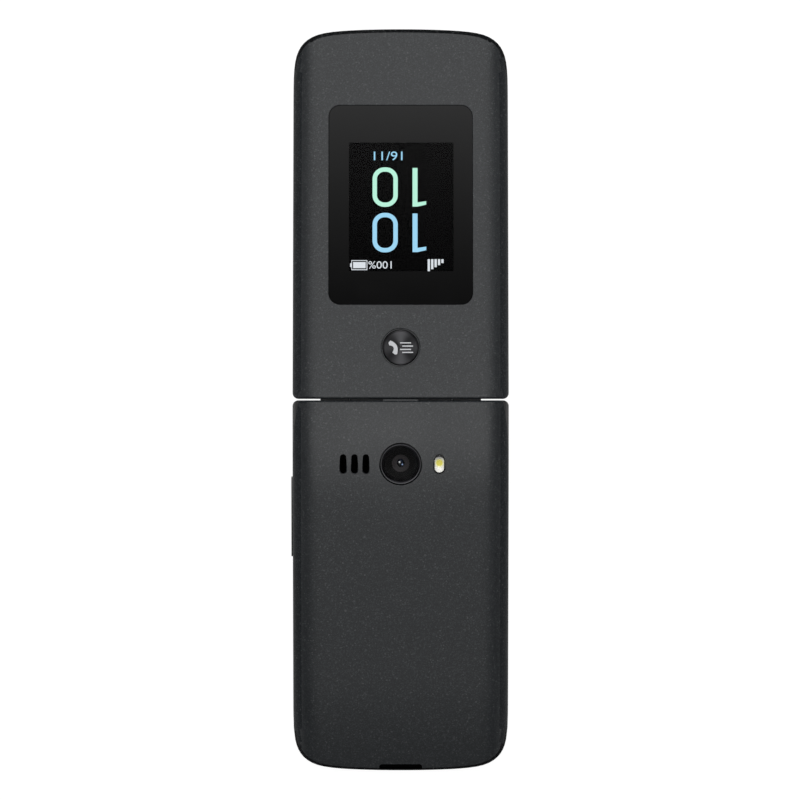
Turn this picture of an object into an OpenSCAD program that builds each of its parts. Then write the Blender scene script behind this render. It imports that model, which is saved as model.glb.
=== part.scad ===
// Clamshell mobile phone, opened to its stop and laid face down like a low tent:
// the back of both halves looks up, the two free ends rest on the table.
// Each half is drawn flat in its own frame and then tilted about the hinge axis:
// x across the phone, u away from the hinge axis, z from the inner face to the back.

/* [Overall] */
// Width of both halves
width = 58.2; // [57:0.1:60]
// Length of each half, from the hinge axis to its free end
half_len = 100.8; // [98:0.1:104]
// Angle between the two inner faces when the lid stands on its open stop
open_angle = 160; // [156:1:164]
// Height of the lid's back above the hinge axis plane
lid_t = 7.8; // [7.4:0.1:8.2]
// Height of the body's back above the hinge axis plane, over the battery
body_t = 10.9; // [10.6:0.1:11.4]
// Height of either inner face above the hinge axis plane
face_gap = 0.2; // [0.15:0.05:0.3]
// Thickness of the moulded walls
wall = 1.2; // [1.1:0.05:1.3]

/* [Rounding] */
// Width of the rolled zone along both sides of the back
roll_w = 7.5; // [6.5:0.5:8]
// Slope that the rolled zone reaches at the side
roll_angle = 56; // [50:1:60]
// Length over which the free end is drawn in
end_len = 35; // [30:1:38]
// Exponent of the free end's curve across the phone
end_power_x = 3.9; // [3.4:0.1:4.4]
// Exponent of the free end's curve along the phone
end_power_u = 10.4; // [9:0.2:12]
// How much the tip of the free end is bowed
end_bow = 0.14; // [0:0.01:0.2]
// Rounding of the edge round the back
edge_r = 0.8; // [0.6:0.1:1]
// Bevel round the inner faces
face_bevel = 0.5; // [0.3:0.1:0.6]
// Plan radius of the corners beside the hinge
hinge_corner_r = 1.6; // [1:0.2:2]

/* [Body back] */
// Radius of the bend that turns the body's back towards the hinge
bend_r = 117; // [110:1:125]
// Distance from the hinge axis at which that bend ends
bend_end = 26.6; // [25:0.2:28]
// Distance from the hinge axis at which the back starts to curve down to the free end
tail_start = 77; // [74:1:80]
// Radius of that curve
tail_r = 100; // [90:5:130]

/* [Hinge] */
// Radius of the hinge barrel
barrel_r = 4.6; // [4.4:0.1:4.7]
// Length of the hinge barrel, over both lid knuckles
barrel_len = 43.2; // [42:0.2:44]
// Length of one lid knuckle
knuckle_len = 7.7; // [7:0.1:8]
// Slit between the two backs
slit = 0.38; // [0.3:0.02:0.5]
// Width of the tongue that closes the middle of the slit
tongue_w = 9.4; // [8:0.2:11]

/* [Outer window and quick key] */
// Width of the outer window
window_w = 39; // [38:0.5:40]
// Length of the outer window
window_len = 55; // [54:0.5:56]
// Distance of the outer window's centre from the hinge axis
window_u = 52.1; // [51.5:0.1:52.6]
// Radius of the round quick key
quick_r = 4.75; // [4.5:0.05:5]
// Distance of the quick key's centre from the hinge axis
quick_u = 12.9; // [12.6:0.1:13.2]

/* [Camera, flash and speaker] */
// Distance of the camera from the hinge axis
camera_u = 15.7; // [15.2:0.1:16]
// Outer radius of the camera ring
camera_r = 5.5; // [5.2:0.1:5.7]
// Distance of the flash from the middle of the phone
flash_x = 10.4; // [10:0.1:11]
// Width of the flash window
flash_w = 3; // [2.8:0.1:3.2]
// Length of the flash window and of each speaker slot
slot_len = 5.2; // [5:0.1:5.5]
// Width of a speaker slot
slot_w = 1.7; // [1.5:0.1:1.9]
// Pitch of the speaker slots
slot_pitch = 3.06; // [2.9:0.02:3.2]
// Distance of the middle slot from the middle of the phone
slot_x = -12.4; // [-13:0.1:-12]

/* [Keys] */
// Travel of every key
key_travel = 0.3; // [0.2:0.05:0.3]
// Distance of the navigation ring's centre from the hinge axis
nav_u = 22.5; // [22:0.5:23]
// Outer radius of the navigation ring
nav_r = 11.3; // [11:0.1:11.5]
// Distance of the call row from the hinge axis
call_u = 41; // [40.8:0.1:41.2]
// Distance of the first digit row from the hinge axis
digit_u = 52.4; // [52.2:0.1:52.6]
// Distance from one digit row to the next
row_pitch = 10.9; // [10.7:0.1:11]
// Distance from one key column to the next
column_pitch = 15.6; // [15.4:0.1:15.8]
// Width of a key cap
key_w = 14; // [13.6:0.1:14.2]
// Length of a key cap
key_len = 8.6; // [8.2:0.1:9]
// Start of the volume key, from the hinge axis
volume_start = 20.6; // [20:0.1:21]
// Length of the volume key
volume_len = 21.6; // [21:0.1:22]
// How far the volume key stands out of the side
volume_proud = 0.4; // [0.3:0.05:0.5]

/* [Battery and cover] */
// Width of the battery
battery_w = 43; // [42:0.5:43.5]
// Length of the battery
battery_len = 50; // [48:0.5:51]
// Distance of the battery from the hinge axis
battery_u = 34.5; // [34.2:0.1:34.8]
// Width of the pry notch in the cover's free end
notch_w = 11.6; // [11:0.2:12]
// Length of the pry notch
notch_l = 1.2; // [1:0.1:1.4]

/* [Hidden] */
$fn = 48;

// The tent: each half is tilted by half of what the open angle lacks to a flat phone.
tilt = (180 - open_angle) / 2;
hinge_h = (half_len - face_bevel) * sin(tilt) - face_gap * cos(tilt);
half_w = width / 2;

// Planes that part the mouldings, above the hinge axis plane.
lid_split = 2.4;
front_split = 1.5;
cover_split = 5.7;
seam = 0.05;

// Hinge.
swing = 0.4;
barrel_half = barrel_len / 2;
middle_half = barrel_half - knuckle_len - 0.15;
bore_r = 3;
web_len = 6.2;
web_z = 4.3;

// Key stack, from the recessed face inwards.
recess_z = 0.7;
plate_z = 1.4;
key_gap = 0.15;
flange = 0.45;
flange_z = [1.45, 1.75];
crown_r = 30;
key_top = 0.3;
dome_z = 2.15;
board_z = [2.55, 3.35];
port_z = 3.6;
bow_power = 90;

// Axis of the volume key's boss.
rocker_x = -half_w + 2.1;

// Places of the keys: name, column, row of the digit block. Seen from the keypad's side, with
// the hinge at the top, the left column has the positive x.
DIGITS = [
    ["key_1", 1, 0], ["key_2", 0, 0], ["key_3", -1, 0],
    ["key_4", 1, 1], ["key_5", 0, 1], ["key_6", -1, 1],
    ["key_7", 1, 2], ["key_8", 0, 2], ["key_9", -1, 2],
    ["key_star", 1, 3], ["key_0", 0, 3], ["key_hash", -1, 3]
];

// Screws: x and u of one side; the other side mirrors them.
LID_SCREWS = [[25.1, 10.5], [21.8, 91.2]];
BODY_SCREWS = [[25.4, 11.6], [25.1, 52], [20.6, 94.2]];
screw_r = 0.6;
post_r = 1.6;

// Finishes.
shell_grey = [0.2, 0.205, 0.21];
frame_black = [0.09, 0.09, 0.1];
gloss_black = [0.03, 0.03, 0.035];
key_grey = [0.13, 0.13, 0.14];
metal = [0.7, 0.7, 0.72];
board_green = [0.05, 0.25, 0.12];

// ---- Frames of the two halves ------------------------------------------------

module in_lid() translate([0, 0, hinge_h]) rotate([-tilt, 0, 0]) children();
module in_body() translate([0, 0, hinge_h]) rotate([tilt, 0, 0]) mirror([0, 1, 0]) children();

// ---- Plane shapes and blocks ---------------------------------------------------

module slab(x, u, z) translate([x[0], u[0], z[0]]) cube([x[1] - x[0], u[1] - u[0], z[1] - z[0]]);

module round_rect(w, l, r) {
    square([w - 2 * r, l], center = true);
    square([w, l - 2 * r], center = true);
    for (x = [-1, 1], y = [-1, 1]) translate([x * (w / 2 - r), y * (l / 2 - r)]) circle(r);
}

module capsule(w, l) {
    square([w, l - w], center = true);
    for (y = [-1, 1]) translate([0, y * (l - w) / 2]) circle(w / 2);
}

module plate(z, at = [0, 0]) translate([at[0], at[1], z[0]]) linear_extrude(z[1] - z[0]) children();

module disc(r, z, at = [0, 0]) translate([at[0], at[1], z[0]]) cylinder(r = r, h = z[1] - z[0]);

module rod(r, x) translate([x[0], 0, 0]) rotate([0, 90, 0]) cylinder(r = r, h = x[1] - x[0]);

module both_sides(points) for (p = points, s = [-1, 1]) translate([s * p[0], p[1], 0]) children();

// ---- Outer form of a half --------------------------------------------------------

// Half width of the outline at u, drawn in by the inset.
function outline_w(u, inset) =
    let (from = half_len - end_len, v = (u - from) / (end_len - inset))
    (half_w - inset) * (v <= 0 ? 1
        : pow(max(0, 1 - pow(min(v, 1), end_power_u)), 1 / end_power_x + end_bow * pow(min(v, 1), bow_power)));

// Stations along the free end, closer together towards the tip.
function end_stations(inset, steps = 12) =
    [for (i = [0 : steps])
        half_len - end_len + (end_len - inset) * pow(sin(90 * i / steps), 2 / end_power_u)];

// The body's back: sloped beside the hinge, one long bend, level, then curved down.
function body_back(u) =
    let (bend_start = bend_end - bend_r * sin(tilt))
    u < bend_start ? body_t - bend_r * (1 - cos(tilt)) - (bend_start - u) * tan(tilt)
    : u < bend_end ? body_t - bend_r + sqrt(bend_r * bend_r - pow(bend_end - u, 2))
    : u < tail_start ? body_t
    : body_t - tail_r + sqrt(tail_r * tail_r - pow(u - tail_start, 2));

// Drop of the back over the rolled sides. The roll is the same all along the phone.
function roll_r(inset) = roll_w / sin(roll_angle) - inset;
function side_drop(x, inset) =
    let (r = roll_r(inset), over = max(0, abs(x) - (half_w - roll_w)))
    r - sqrt(r * r - over * over);

// Across one side of a section: from the start of the roll out to the half width.
function across(w, inset, steps = 5) =
    let (start = half_w - roll_w)
    w < start + 0.1 ? [w]
    : [for (i = [0 : steps]) start + roll_r(inset) * sin(asin((w - start) / roll_r(inset)) * i / steps)];

// Section of a half: upright sides under the points of the back.
function section_points(xs, h, foot, inset) =
    let (last = len(xs) - 1)
    concat(
        [[-xs[last], foot]],
        [for (i = [last : -1 : 0]) [-xs[i], h - side_drop(xs[i], inset)]],
        [for (x = xs) [x, h - side_drop(x, inset)]],
        [[xs[last], foot]]
    );

// Levels of the rounded edge: how far in and how far down. An inner form has a sharp edge.
function edge_levels(inset) = inset > 0 ? [[0, 0]] : [[edge_r, 0], [0.3 * edge_r, 0.3 * edge_r], [0, edge_r]];

// A half as the hull of the points of its sections.
module half_form(stations, back, inset, foot) {
    points = [for (level = edge_levels(inset), u = concat(stations, end_stations(inset + level[0])))
        let (w = max(0.4, outline_w(u, inset + level[0])), xs = level[1] > 0 ? [w] : across(w, inset))
        for (p = section_points(xs, back(u) - inset - level[1], foot, inset)) [p[0], u, p[1]]];
    hull() polyhedron(points = points, faces = [for (i = [0 : 3 : len(points) - 3]) [i, i + 1, i + 2]]);
}

module lid_form(inset = 0, foot = -1) half_form([-3], function (u) lid_t, inset, foot);

module body_form(inset = 0, foot = -1) {
    bends = [for (a = [0 : tilt / 4 : tilt]) bend_end - bend_r * sin(a)];
    tail = [for (i = [0 : 3]) tail_start + i * 4];
    half_form(concat([-3], bends, tail), function (u) body_back(u), inset, foot);
}

// Plan outline, from beyond the hinge to the free end.
module outline(inset = 0) {
    tips = [for (u = end_stations(inset)) [outline_w(u, inset), u]];
    polygon(concat([[half_w - inset, -3]], tips, [for (i = [len(tips) - 1 : -1 : 0]) [-tips[i][0], tips[i][1]]],
        [[-(half_w - inset), -3]]));
}

// The hinge end of either half: upright when the phone stands open, with round corners.
module hinge_trim(inset = 0) {
    r = hinge_corner_r;
    w = half_w - inset;
    rotate([tilt, 0, 0]) translate([0, slit / 2 + inset, -40]) linear_extrude(80) {
        translate([-w + r, 0]) square([2 * (w - r), half_len + 40]);
        translate([-w - 1, r]) square([2 * w + 2, half_len + 40]);
        for (s = [-1, 1]) translate([s * (w - r), r]) circle(r);
    }
}

// A plain layer of a half between two heights, with a bevel round its inner face.
module face_layer(top) {
    intersection() {
        union() {
            hull() {
                plate([face_gap, face_gap + 0.01]) outline(face_bevel);
                plate([face_gap + face_bevel, face_gap + face_bevel + 0.01]) outline();
            }
            plate([face_gap + face_bevel, top]) outline();
        }
        hinge_trim();
    }
}

module between(z) intersection() {
    children();
    slab([-60, 60], [-10, 140], z);
}

// ---- Hinge ---------------------------------------------------------------------------

// Room that the moving barrel needs in the shells.
module barrel_room() rod(barrel_r + swing, [-barrel_half - 0.4, barrel_half + 0.4]);

module lid_knuckles(grow = 0) {
    for (s = [-1, 1]) {
        span = s > 0 ? [barrel_half - knuckle_len, barrel_half] : [-barrel_half, -barrel_half + knuckle_len];
        if (grow == 0) rod(barrel_r, span);
        slab([span[0] - grow, span[1] + grow], [0, web_len + grow], [face_gap, web_z + grow]);
    }
}

module middle_barrel(grow = 0) {
    if (grow == 0) rod(barrel_r, [-middle_half, middle_half]);
    slab([-middle_half - grow, middle_half + grow], [0, web_len + grow], [face_gap - grow, web_z]);
}

// Flat-sided end of the hinge shaft, which turns the lid's left knuckle.
module key_head(grow, x) intersection() {
    rod(2.6 + grow, x);
    slab([x[0] - 1, x[1] + 1], [-3, 3], [-1.9 - grow, 1.9 + grow]);
}

module hinge_cartridge() color(metal) in_body() difference() {
    rod(bore_r - 0.03, [-middle_half + 0.1, -2]);
    rod(1.5, [-middle_half, -4]);
}

module hinge_shaft() color(metal) in_lid() {
    rod(1.45, [-middle_half - 0.5, -4.3]);
    key_head(0, [-barrel_half + 1.1, -middle_half - 0.2]);
}

module hinge_bush() color(metal) in_lid() difference() {
    rod(bore_r - 0.07, [9, barrel_half - 1.1]);
    rod(2.2, [8, barrel_half]);
}

// Flat cable rolled up inside the barrel: a coil, a strip to the lid and a strip to the board.
module hinge_flex() color([0.75, 0.42, 0.1]) in_body() {
    turns = 2.25;
    thick = 0.14;
    steps = 54;
    edge = function (r0) [for (i = [0 : steps]) let (a = 360 * turns * i / steps, r = r0 + 0.5 * turns * i / steps)
        [r * cos(a), r * sin(a)]];
    inner = edge(1.25);
    outer = edge(1.25 + thick);
    rotate([90, 0, 90]) linear_extrude(8) polygon(concat(inner, [for (i = [steps : -1 : 0]) outer[i]]));
    slab([0, barrel_half - 1.6], [-1.35, 1.35], [-thick / 2, thick / 2]);
    slab([0.6, 7.4], [0.6, 9.5], [2.32, 2.32 + thick]);
}

// ---- Lid --------------------------------------------------------------------------------

module quick_hole(r, z) disc(r, z, [0, quick_u]);

// A screw post ends half way into the roof over its outer edge.
function lid_post_top(x) = lid_t - wall / 2 - side_drop(x + post_r, wall / 2);

module lid_outer_shell() color(shell_grey) in_lid() difference() {
    union() {
        difference() {
            between([lid_split, 20]) intersection() {
                lid_form();
                hinge_trim();
            }
            intersection() {
                lid_form(wall);
                slab([-60, 60], [7, 140], [-2, lid_t]);
            }
        }
        for (at = LID_SCREWS) both_sides([at]) disc(post_r, [lid_split + 0.4, lid_post_top(at[0])]);
        for (s = [-1, 1]) slab([s * 22 - 0.4, s * 22 + 0.4], [20, 84], [lid_t - wall - 0.6, lid_t - wall / 2]);
    }
    barrel_room();
    lid_knuckles(0.1);
    both_sides(LID_SCREWS) disc(screw_r, [0, lid_t - 2.4]);
    plate([lid_t - 1.1, lid_t + 1], [0, window_u]) round_rect(window_w + 0.2, window_len + 0.2, 3.2);
    plate([0, lid_t], [0, window_u]) round_rect(window_w - 3.6, window_len - 4, 1.5);
    quick_hole(quick_r + 0.2, [0, 20]);
    quick_hole(quick_r + 0.45, [lid_t - 0.25, 20]);
}

module lid_inner_shell() color(frame_black) in_lid() difference() {
    union() {
        difference() {
            face_layer(lid_split - seam);
            intersection() {
                plate([face_gap + 1.1, 10]) outline(wall + 0.1);
                slab([-60, 60], [7, 140], [0, 20]);
            }
            barrel_room();
        }
        lid_knuckles();
    }
    key_head(0.03, [-barrel_half + 1, -barrel_half + knuckle_len + 1]);
    rod(bore_r - 0.05, [barrel_half - knuckle_len - 1, barrel_half - 1]);
    slab([barrel_half - 6.2, barrel_half - 2.2], [1, web_len + 3], [3.1, 3.6]);
    plate([0, 1.1], [0, 51]) round_rect(48.2, 68.2, 2.1);
    plate([0, 5], [0, 51]) round_rect(44.4, 59.6, 1);
    plate([0, 5], [0, 90.5]) capsule_across(10, 1.6);
    both_sides([[19, 95]]) disc(2.05, [0, 0.8]);
    both_sides(LID_SCREWS) {
        disc(0.75, [0, 5]);
        disc(1.3, [0, 0.92]);
    }
}

module capsule_across(w, l) rotate([0, 0, 90]) capsule(l, w);

module lid_chassis() color(metal) in_lid() {
    difference() {
        plate([3.4, 3.9]) intersection() {
            outline(wall + 0.4);
            translate([-30, 8]) square([60, 80]);
        }
        for (u = [24, 66]) plate([3, 5], [0, u]) round_rect(30, 26, 3);
        both_sides([[25.1, 10.5]]) disc(2, [3, 5]);
        both_sides([[26.5, 40], [26.5, 64]]) disc(1.2, [3, 5]);
    }
    for (s = [-1, 1]) slab([s * 24 - 0.3, s * 24 + 0.3], [20, 84], [3.9, 4.7]);
}

module sub_display_lens() color(gloss_black) in_lid()
    plate([lid_t - 1.05, lid_t - 0.05], [0, window_u]) round_rect(window_w, window_len, 3.1);

module sub_display_panel() color([0.1, 0.1, 0.12]) in_lid() {
    plate([5, 6.6], [0, window_u - 0.6]) round_rect(34.6, 46.6, 0.4);
    slab([-8, 8], [window_u + 22.7, window_u + 24.6], [5, 5.2]);
}

module main_display_lens() color(gloss_black) in_lid()
    plate([face_gap + 0.1, 1.05], [0, 51]) round_rect(48, 68, 2);

module main_display_panel() color([0.16, 0.17, 0.2]) in_lid() {
    plate([1.4, 3.2], [0, 51]) round_rect(49.4, 69, 0.5);
    slab([-10, 10], [13, 17], [2.4, 2.6]);
}

module earpiece() color([0.3, 0.3, 0.32]) in_lid() {
    plate([1.4, 3.1], [0, 90.5]) round_rect(13, 6.4, 1.5);
    plate([3.1, 3.6], [0, 90.5]) round_rect(10, 4.4, 1);
}

module earpiece_mesh() color(metal) in_lid() difference() {
    plate([0.5, 0.7], [0, 90.5]) capsule_across(9.9, 1.5);
    for (i = [-6 : 6]) disc(0.22, [0, 1], [i * 0.68, 90.5]);
}

module quick_key() color([0.28, 0.29, 0.3]) in_lid() difference() {
    union() {
        quick_hole(quick_r, [6.1, lid_t - 0.1]);
        quick_hole(quick_r + 0.5, [5.85, 6.2]);
        quick_hole(1.2, [5.55, 6]);
    }
    // shallow turned dish in the cap
    translate([0, quick_u, lid_t - 0.35]) cylinder(r1 = 0, r2 = quick_r - 0.3, h = 0.26);
}

module quick_key_switch() color(metal) in_lid() {
    plate([4.75, 5], [0, quick_u]) round_rect(4.8, 4.8, 0.4);
    quick_hole(1.6, [5, 5.2]);
}

module lid_board() color(board_green) in_lid() difference() {
    union() {
        plate([4.1, 4.7], [0, 46]) round_rect(40, 76, 2);
        slab([13.6, 17.4], [7.1, 10], [4.45, 4.6]);
        slab([-14, -6], [77, 81], [4.7, 5.9]);
        slab([6, 14], [77, 81], [4.7, 5.7]);
    }
    both_sides([[17.5, 80.5]]) disc(0.8, [0, 9]);
}

module lid_magnet() color(metal) in_lid() plate([1.4, 2.9], [12.5, 93.6]) round_rect(4, 4, 0.4);

module lid_bumpers() color([0.08, 0.08, 0.08]) in_lid() both_sides([[19, 95]]) {
    disc(2, [0.35, 0.78]);
    disc(1.7, [0.08, 0.35]);
}

// A screw: domed head with a cross slot, straight shank.
module screw(head_z, len, up) difference() {
    union() {
        disc(1.2, [head_z, head_z + 0.55]);
        disc(screw_r - 0.02, up ? [head_z + 0.5, head_z + len] : [head_z - len, head_z + 0.05]);
    }
    for (a = [0, 90]) rotate([0, 0, a]) slab([-0.75, 0.75], [-0.15, 0.15],
        up ? [head_z - 0.1, head_z + 0.25] : [head_z + 0.3, head_z + 0.7]);
}

module lid_screws() color(metal) in_lid() both_sides(LID_SCREWS) screw(0.35, 4.6, true);

// ---- Body ------------------------------------------------------------------------------------

module key_shape(name) {
    if (name == "digit") round_rect(key_w, key_len, 2.4);
    if (name == "nav") circle(nav_r);
    if (name == "ok") circle(5.4);
    if (name == "soft") difference() {
        round_rect(10.4, 20.4, 3);
        translate([-19.2, 0]) circle(nav_r + 1);
    }
}

// One key: a crowned cap in its opening, a flange behind the plate and a nub over the dome.
// The crown runs across the phone, or along it for a tall key.
module key_cap(at, mirrored = false, tall = false) translate([at[0], at[1], 0]) mirror([mirrored ? 1 : 0, 0, 0]) {
    intersection() {
        plate([key_top, flange_z[0] + 0.1]) children(0);
        translate([0, 0, crown_r + key_top]) rotate([tall ? 90 : 0, tall ? 0 : 90, 0])
            cylinder(r = crown_r, h = 60, center = true, $fn = 96);
    }
    plate(flange_z) children(1);
    disc(1, [flange_z[1] - 0.1, dome_z - key_travel - 0.03]);
}

module digit_key(name) color(key_grey) in_body() {
    for (d = DIGITS) if (d[0] == name) key_cap([d[1] * column_pitch, digit_u + d[2] * row_pitch]) {
        key_shape("digit");
        round_rect(key_w + 2 * flange, key_len + 2 * flange, 2.6);
    }
}

module call_row_key(x) color(key_grey) in_body() key_cap([x, call_u]) {
    key_shape("digit");
    round_rect(key_w + 2 * flange, key_len + 2 * flange, 2.6);
}

module soft_key(side) color(key_grey) in_body() {
    key_cap([side * 19.2, nav_u], side < 0, true) {
        key_shape("soft");
        difference() {
            round_rect(11, 21, 3.2);
            translate([-19.2, 0]) circle(nav_r + 0.7);
        }
    }
}

module nav_ring() color([0.3, 0.3, 0.32]) in_body() translate([0, nav_u, 0]) {
    difference() {
        union() {
            disc(nav_r, [key_top, flange_z[0] + 0.1]);
            disc(nav_r + 0.3, flange_z);
            for (a = [0 : 90 : 270]) rotate([0, 0, a]) disc(0.8, [flange_z[1] - 0.1, dome_z - key_travel - 0.03], [8.6, 0]);
        }
        disc(5.4 + key_gap, [0, 5]);
        // room for the flange of the middle key, also when the ring is pressed alone
        disc(6.1, [flange_z[0] - key_travel - 0.1, 5]);
        // raised rim outside a shallow dished track
        translate([0, 0, key_top - 0.01]) difference() {
            disc(10.4, [0, 0.25]);
            disc(6.4, [-1, 1]);
        }
    }
}

module ok_key() color(key_grey) in_body() translate([0, nav_u, 0]) {
    difference() {
        disc(5.4, [key_top, flange_z[0] + 0.1]);
        translate([0, 0, key_top - 14.6]) sphere(r = 14.8, $fn = 96);
    }
    disc(5.85, flange_z);
    disc(1, [flange_z[1] - 0.1, dome_z - key_travel - 0.03]);
}

module key_openings() {
    g = 2 * key_gap;
    plate([0, 5], [0, nav_u]) circle(nav_r + key_gap);
    for (s = [-1, 1]) plate([0, 5], [s * 19.2, nav_u]) mirror([s < 0 ? 1 : 0, 0]) difference() {
        round_rect(10.4 + g, 20.4 + g, 3 + key_gap);
        translate([-19.2, 0]) circle(nav_r + 1 - key_gap);
    }
    for (c = [-1 : 1], u = concat([call_u], [for (r = [0 : 3]) digit_u + r * row_pitch]))
        plate([0, 5], [c * column_pitch, u]) round_rect(key_w + g, key_len + g, 2.4 + key_gap);
}

module keypad_shell() color(frame_black) in_body() difference() {
    union() {
        difference() {
            face_layer(front_split - seam);
            intersection() {
                plate([plate_z, 10]) outline(wall + 0.1);
                slab([-60, 60], [7, 140], [0, 20]);
            }
            barrel_room();
        }
        both_sides(BODY_SCREWS) disc(post_r, [plate_z - 0.2, 3.9]);
    }
    middle_barrel(0.05);
    plate([0, recess_z], [0, 51.5]) round_rect(51.6, 86.5, 5);
    key_openings();
    both_sides(BODY_SCREWS) disc(screw_r, [plate_z, 5]);
    disc(0.5, [0, 5], [-9, 97.4]);
    slab([-notch_w / 4, notch_w / 4], [half_len - 1.2, half_len + 1], [0, face_gap + 0.35]);
}

// Plug opening in the free end, with the space for the port behind it.
module port_cuts() {
    translate([0, half_len - 9, port_z]) rotate([-90, 0, 0]) linear_extrude(12) round_rect(9.1, 3.36, 1.6);
    slab([-5.2, 5.2], [half_len - 9.2, half_len - wall - 0.1], [1, 5.4]);
}

module volume_slot(grow) slab([-40, -half_w + 2.2], [volume_start - grow, volume_start + volume_len + grow],
    [2.4 - grow, 4.3 + grow]);

module rear_housing() color(frame_black) in_body() difference() {
    union() {
        difference() {
            union() {
                between([front_split, cover_split]) intersection() {
                    body_form();
                    hinge_trim();
                }
                between([cover_split - 0.5, 20]) intersection() {
                    body_form(wall + 0.3);
                    hinge_trim(wall + 0.3);
                }
            }
            barrel_room();
            // space for the board, open to the keypad side
            intersection() {
                plate([0, 4.3]) outline(wall + 0.1);
                slab([-60, 60], [7, 140], [0, 20]);
            }
        }
        middle_barrel();
    }
    rod(bore_r, [-middle_half - 1, middle_half + 1]);
    slab([0.2, 7.8], [0.5, 20], [2.1, 2.7]);
    port_cuts();
    volume_slot(0.15);
    // battery bay
    slab([-battery_w / 2 - 0.4, battery_w / 2 + 0.4], [battery_u - 0.4, battery_u + battery_len + 0.4], [4.8, 20]);
    slab([-7, 7], [battery_u - 2.8, battery_u], [4, 20]);
    // window over the card holder, in the floor of the bay
    slab([-18.5, -3.5], [38, 51], [4, 20]);
    // pockets for the camera, the loudspeaker, the flash and the motor
    slab([-4.6, 4.6], [camera_u - 4.6, camera_u + 4.6], [4, 20]);
    disc(camera_r + 0.05, [8.6, 20], [0, camera_u]);
    plate([4, 20], [slot_x, 17.5]) round_rect(13.2, 15.2, 1.5);
    plate([4, 20], [flash_x, camera_u]) capsule(flash_w + 0.1, slot_len + 0.1);
    disc(4.15, [4, 7.4], [19, 23.6]);
    // finger scoop beside the battery and the pry recess at the free end
    translate([0, battery_u + battery_len + 2.5, 11.5]) rotate([0, 90, 0]) cylinder(r = 5, h = 16, center = true);
    slab([-notch_w / 2 + 0.3, notch_w / 2 - 0.3], [half_len - 3.2, half_len - 0.6], [cover_split, 20]);
    both_sides(BODY_SCREWS) {
        disc(0.75, [0, 20]);
        disc(1.35, [5.6, 20]);
    }
}

module notch_cut() translate([0, half_len - 0.45 - notch_l, 0]) linear_extrude(20)
    polygon([[-notch_w / 2 + 0.5, 0], [notch_w / 2 - 0.5, 0], [notch_w / 2, 0.5], [notch_w / 2, notch_l],
        [-notch_w / 2, notch_l], [-notch_w / 2, 0.5]]);

module battery_cover() color(shell_grey) in_body() difference() {
    union() {
        between([cover_split + seam, 20]) intersection() {
            body_form();
            hinge_trim();
        }
        // tongue that closes the middle of the slit
        rotate([tilt, 0, 0]) slab([-tongue_w / 2, tongue_w / 2], [-0.05, slit / 2 + wall / 2], [5.9, 7.45]);
    }
    intersection() {
        body_form(wall);
        hinge_trim(wall);
    }
    barrel_room();
    disc(camera_r + 0.16, [0, 20], [0, camera_u]);
    plate([0, 20], [flash_x, camera_u]) capsule(flash_w + 0.1, slot_len + 0.1);
    for (i = [-1 : 1]) plate([0, 20], [slot_x + i * slot_pitch, camera_u]) capsule(slot_w, slot_len);
    notch_cut();
}

module battery() color([0.75, 0.75, 0.74]) in_body() difference() {
    plate([4.9, 9.2], [0, battery_u + battery_len / 2]) round_rect(battery_w, battery_len, 1.5);
    for (i = [-1 : 1]) slab([i * 3 - 0.8, i * 3 + 0.8], [battery_u - 1, battery_u + 0.4], [6, 8]);
}

module battery_contacts() color([0.85, 0.7, 0.3]) in_body() {
    slab([-6.6, 6.6], [battery_u - 2.6, battery_u - 0.9], [4.9, 8.4]);
    for (i = [-1 : 1]) slab([i * 3 - 0.4, i * 3 + 0.4], [battery_u - 1, battery_u - 0.02], [6.4, 7.6]);
}

module main_board() color(board_green) in_body() difference() {
    union() {
        plate(board_z) intersection() {
            outline(wall + 0.6);
            translate([-23, 8.4]) square([46, half_len - 11]);
        }
        // shield cans and connectors
        slab([0, 20], [56, 74], [board_z[1], 4.2]);
        slab([-20, -4], [56, 86], [board_z[1], 4.2]);
        slab([2, 18], [36, 52], [board_z[1], 4.2]);
        slab([-6, 6], [26, 31], [board_z[1], 4.2]);
    }
    slab([-5.3, 5.3], [half_len - 9.4, half_len], [0, 10]);
    slab([-24, -21.2], [volume_start - 1, volume_start + volume_len + 1], [0, 10]);
    slab([0, 8], [8, 9.6], [0, 10]);
    disc(4.2, [0, 10], [19, 23.6]);
    both_sides([[20.6, 94.2]]) disc(1.8, [0, 10]);
}

module dome(r) translate([0, 0, dome_z]) cylinder(r1 = r * 0.55, r2 = r, h = 0.3);

module dome_sheet() color([0.85, 0.85, 0.8]) in_body() {
    plate([2.4, 2.5], [0, 51.3]) round_rect(44.4, 78, 2);
    translate([0, nav_u, 0]) {
        dome(2.2);
        for (a = [0 : 90 : 270]) rotate([0, 0, a]) translate([8.6, 0]) dome(1.5);
        for (s = [-1, 1]) translate([s * 19.2, 0]) dome(2);
    }
    for (c = [-1 : 1], u = concat([call_u], [for (r = [0 : 3]) digit_u + r * row_pitch]))
        translate([c * column_pitch, u]) dome(2.2);
}

// Rocker in the left side: a cap through the wall, a flange behind it that rolls on a round
// boss, and two nubs over the switches.
module volume_key() color(frame_black) in_body() {
    mid = volume_start + volume_len / 2;
    slab([-half_w - volume_proud, -half_w + 1.7], [volume_start, volume_start + volume_len], [2.4, 4.3]);
    slab([-half_w + 1.65, rocker_x], [volume_start - 0.8, volume_start + volume_len + 0.8], [2.05, 4.2]);
    disc(0.5, [2.6, 3.9], [rocker_x, mid]);
    for (s = [-1, 1]) slab([rocker_x - 0.1, rocker_x + 0.6], [mid + s * 6.5 - 0.6, mid + s * 6.5 + 0.6], [2.7, 3.9]);
}

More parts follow.
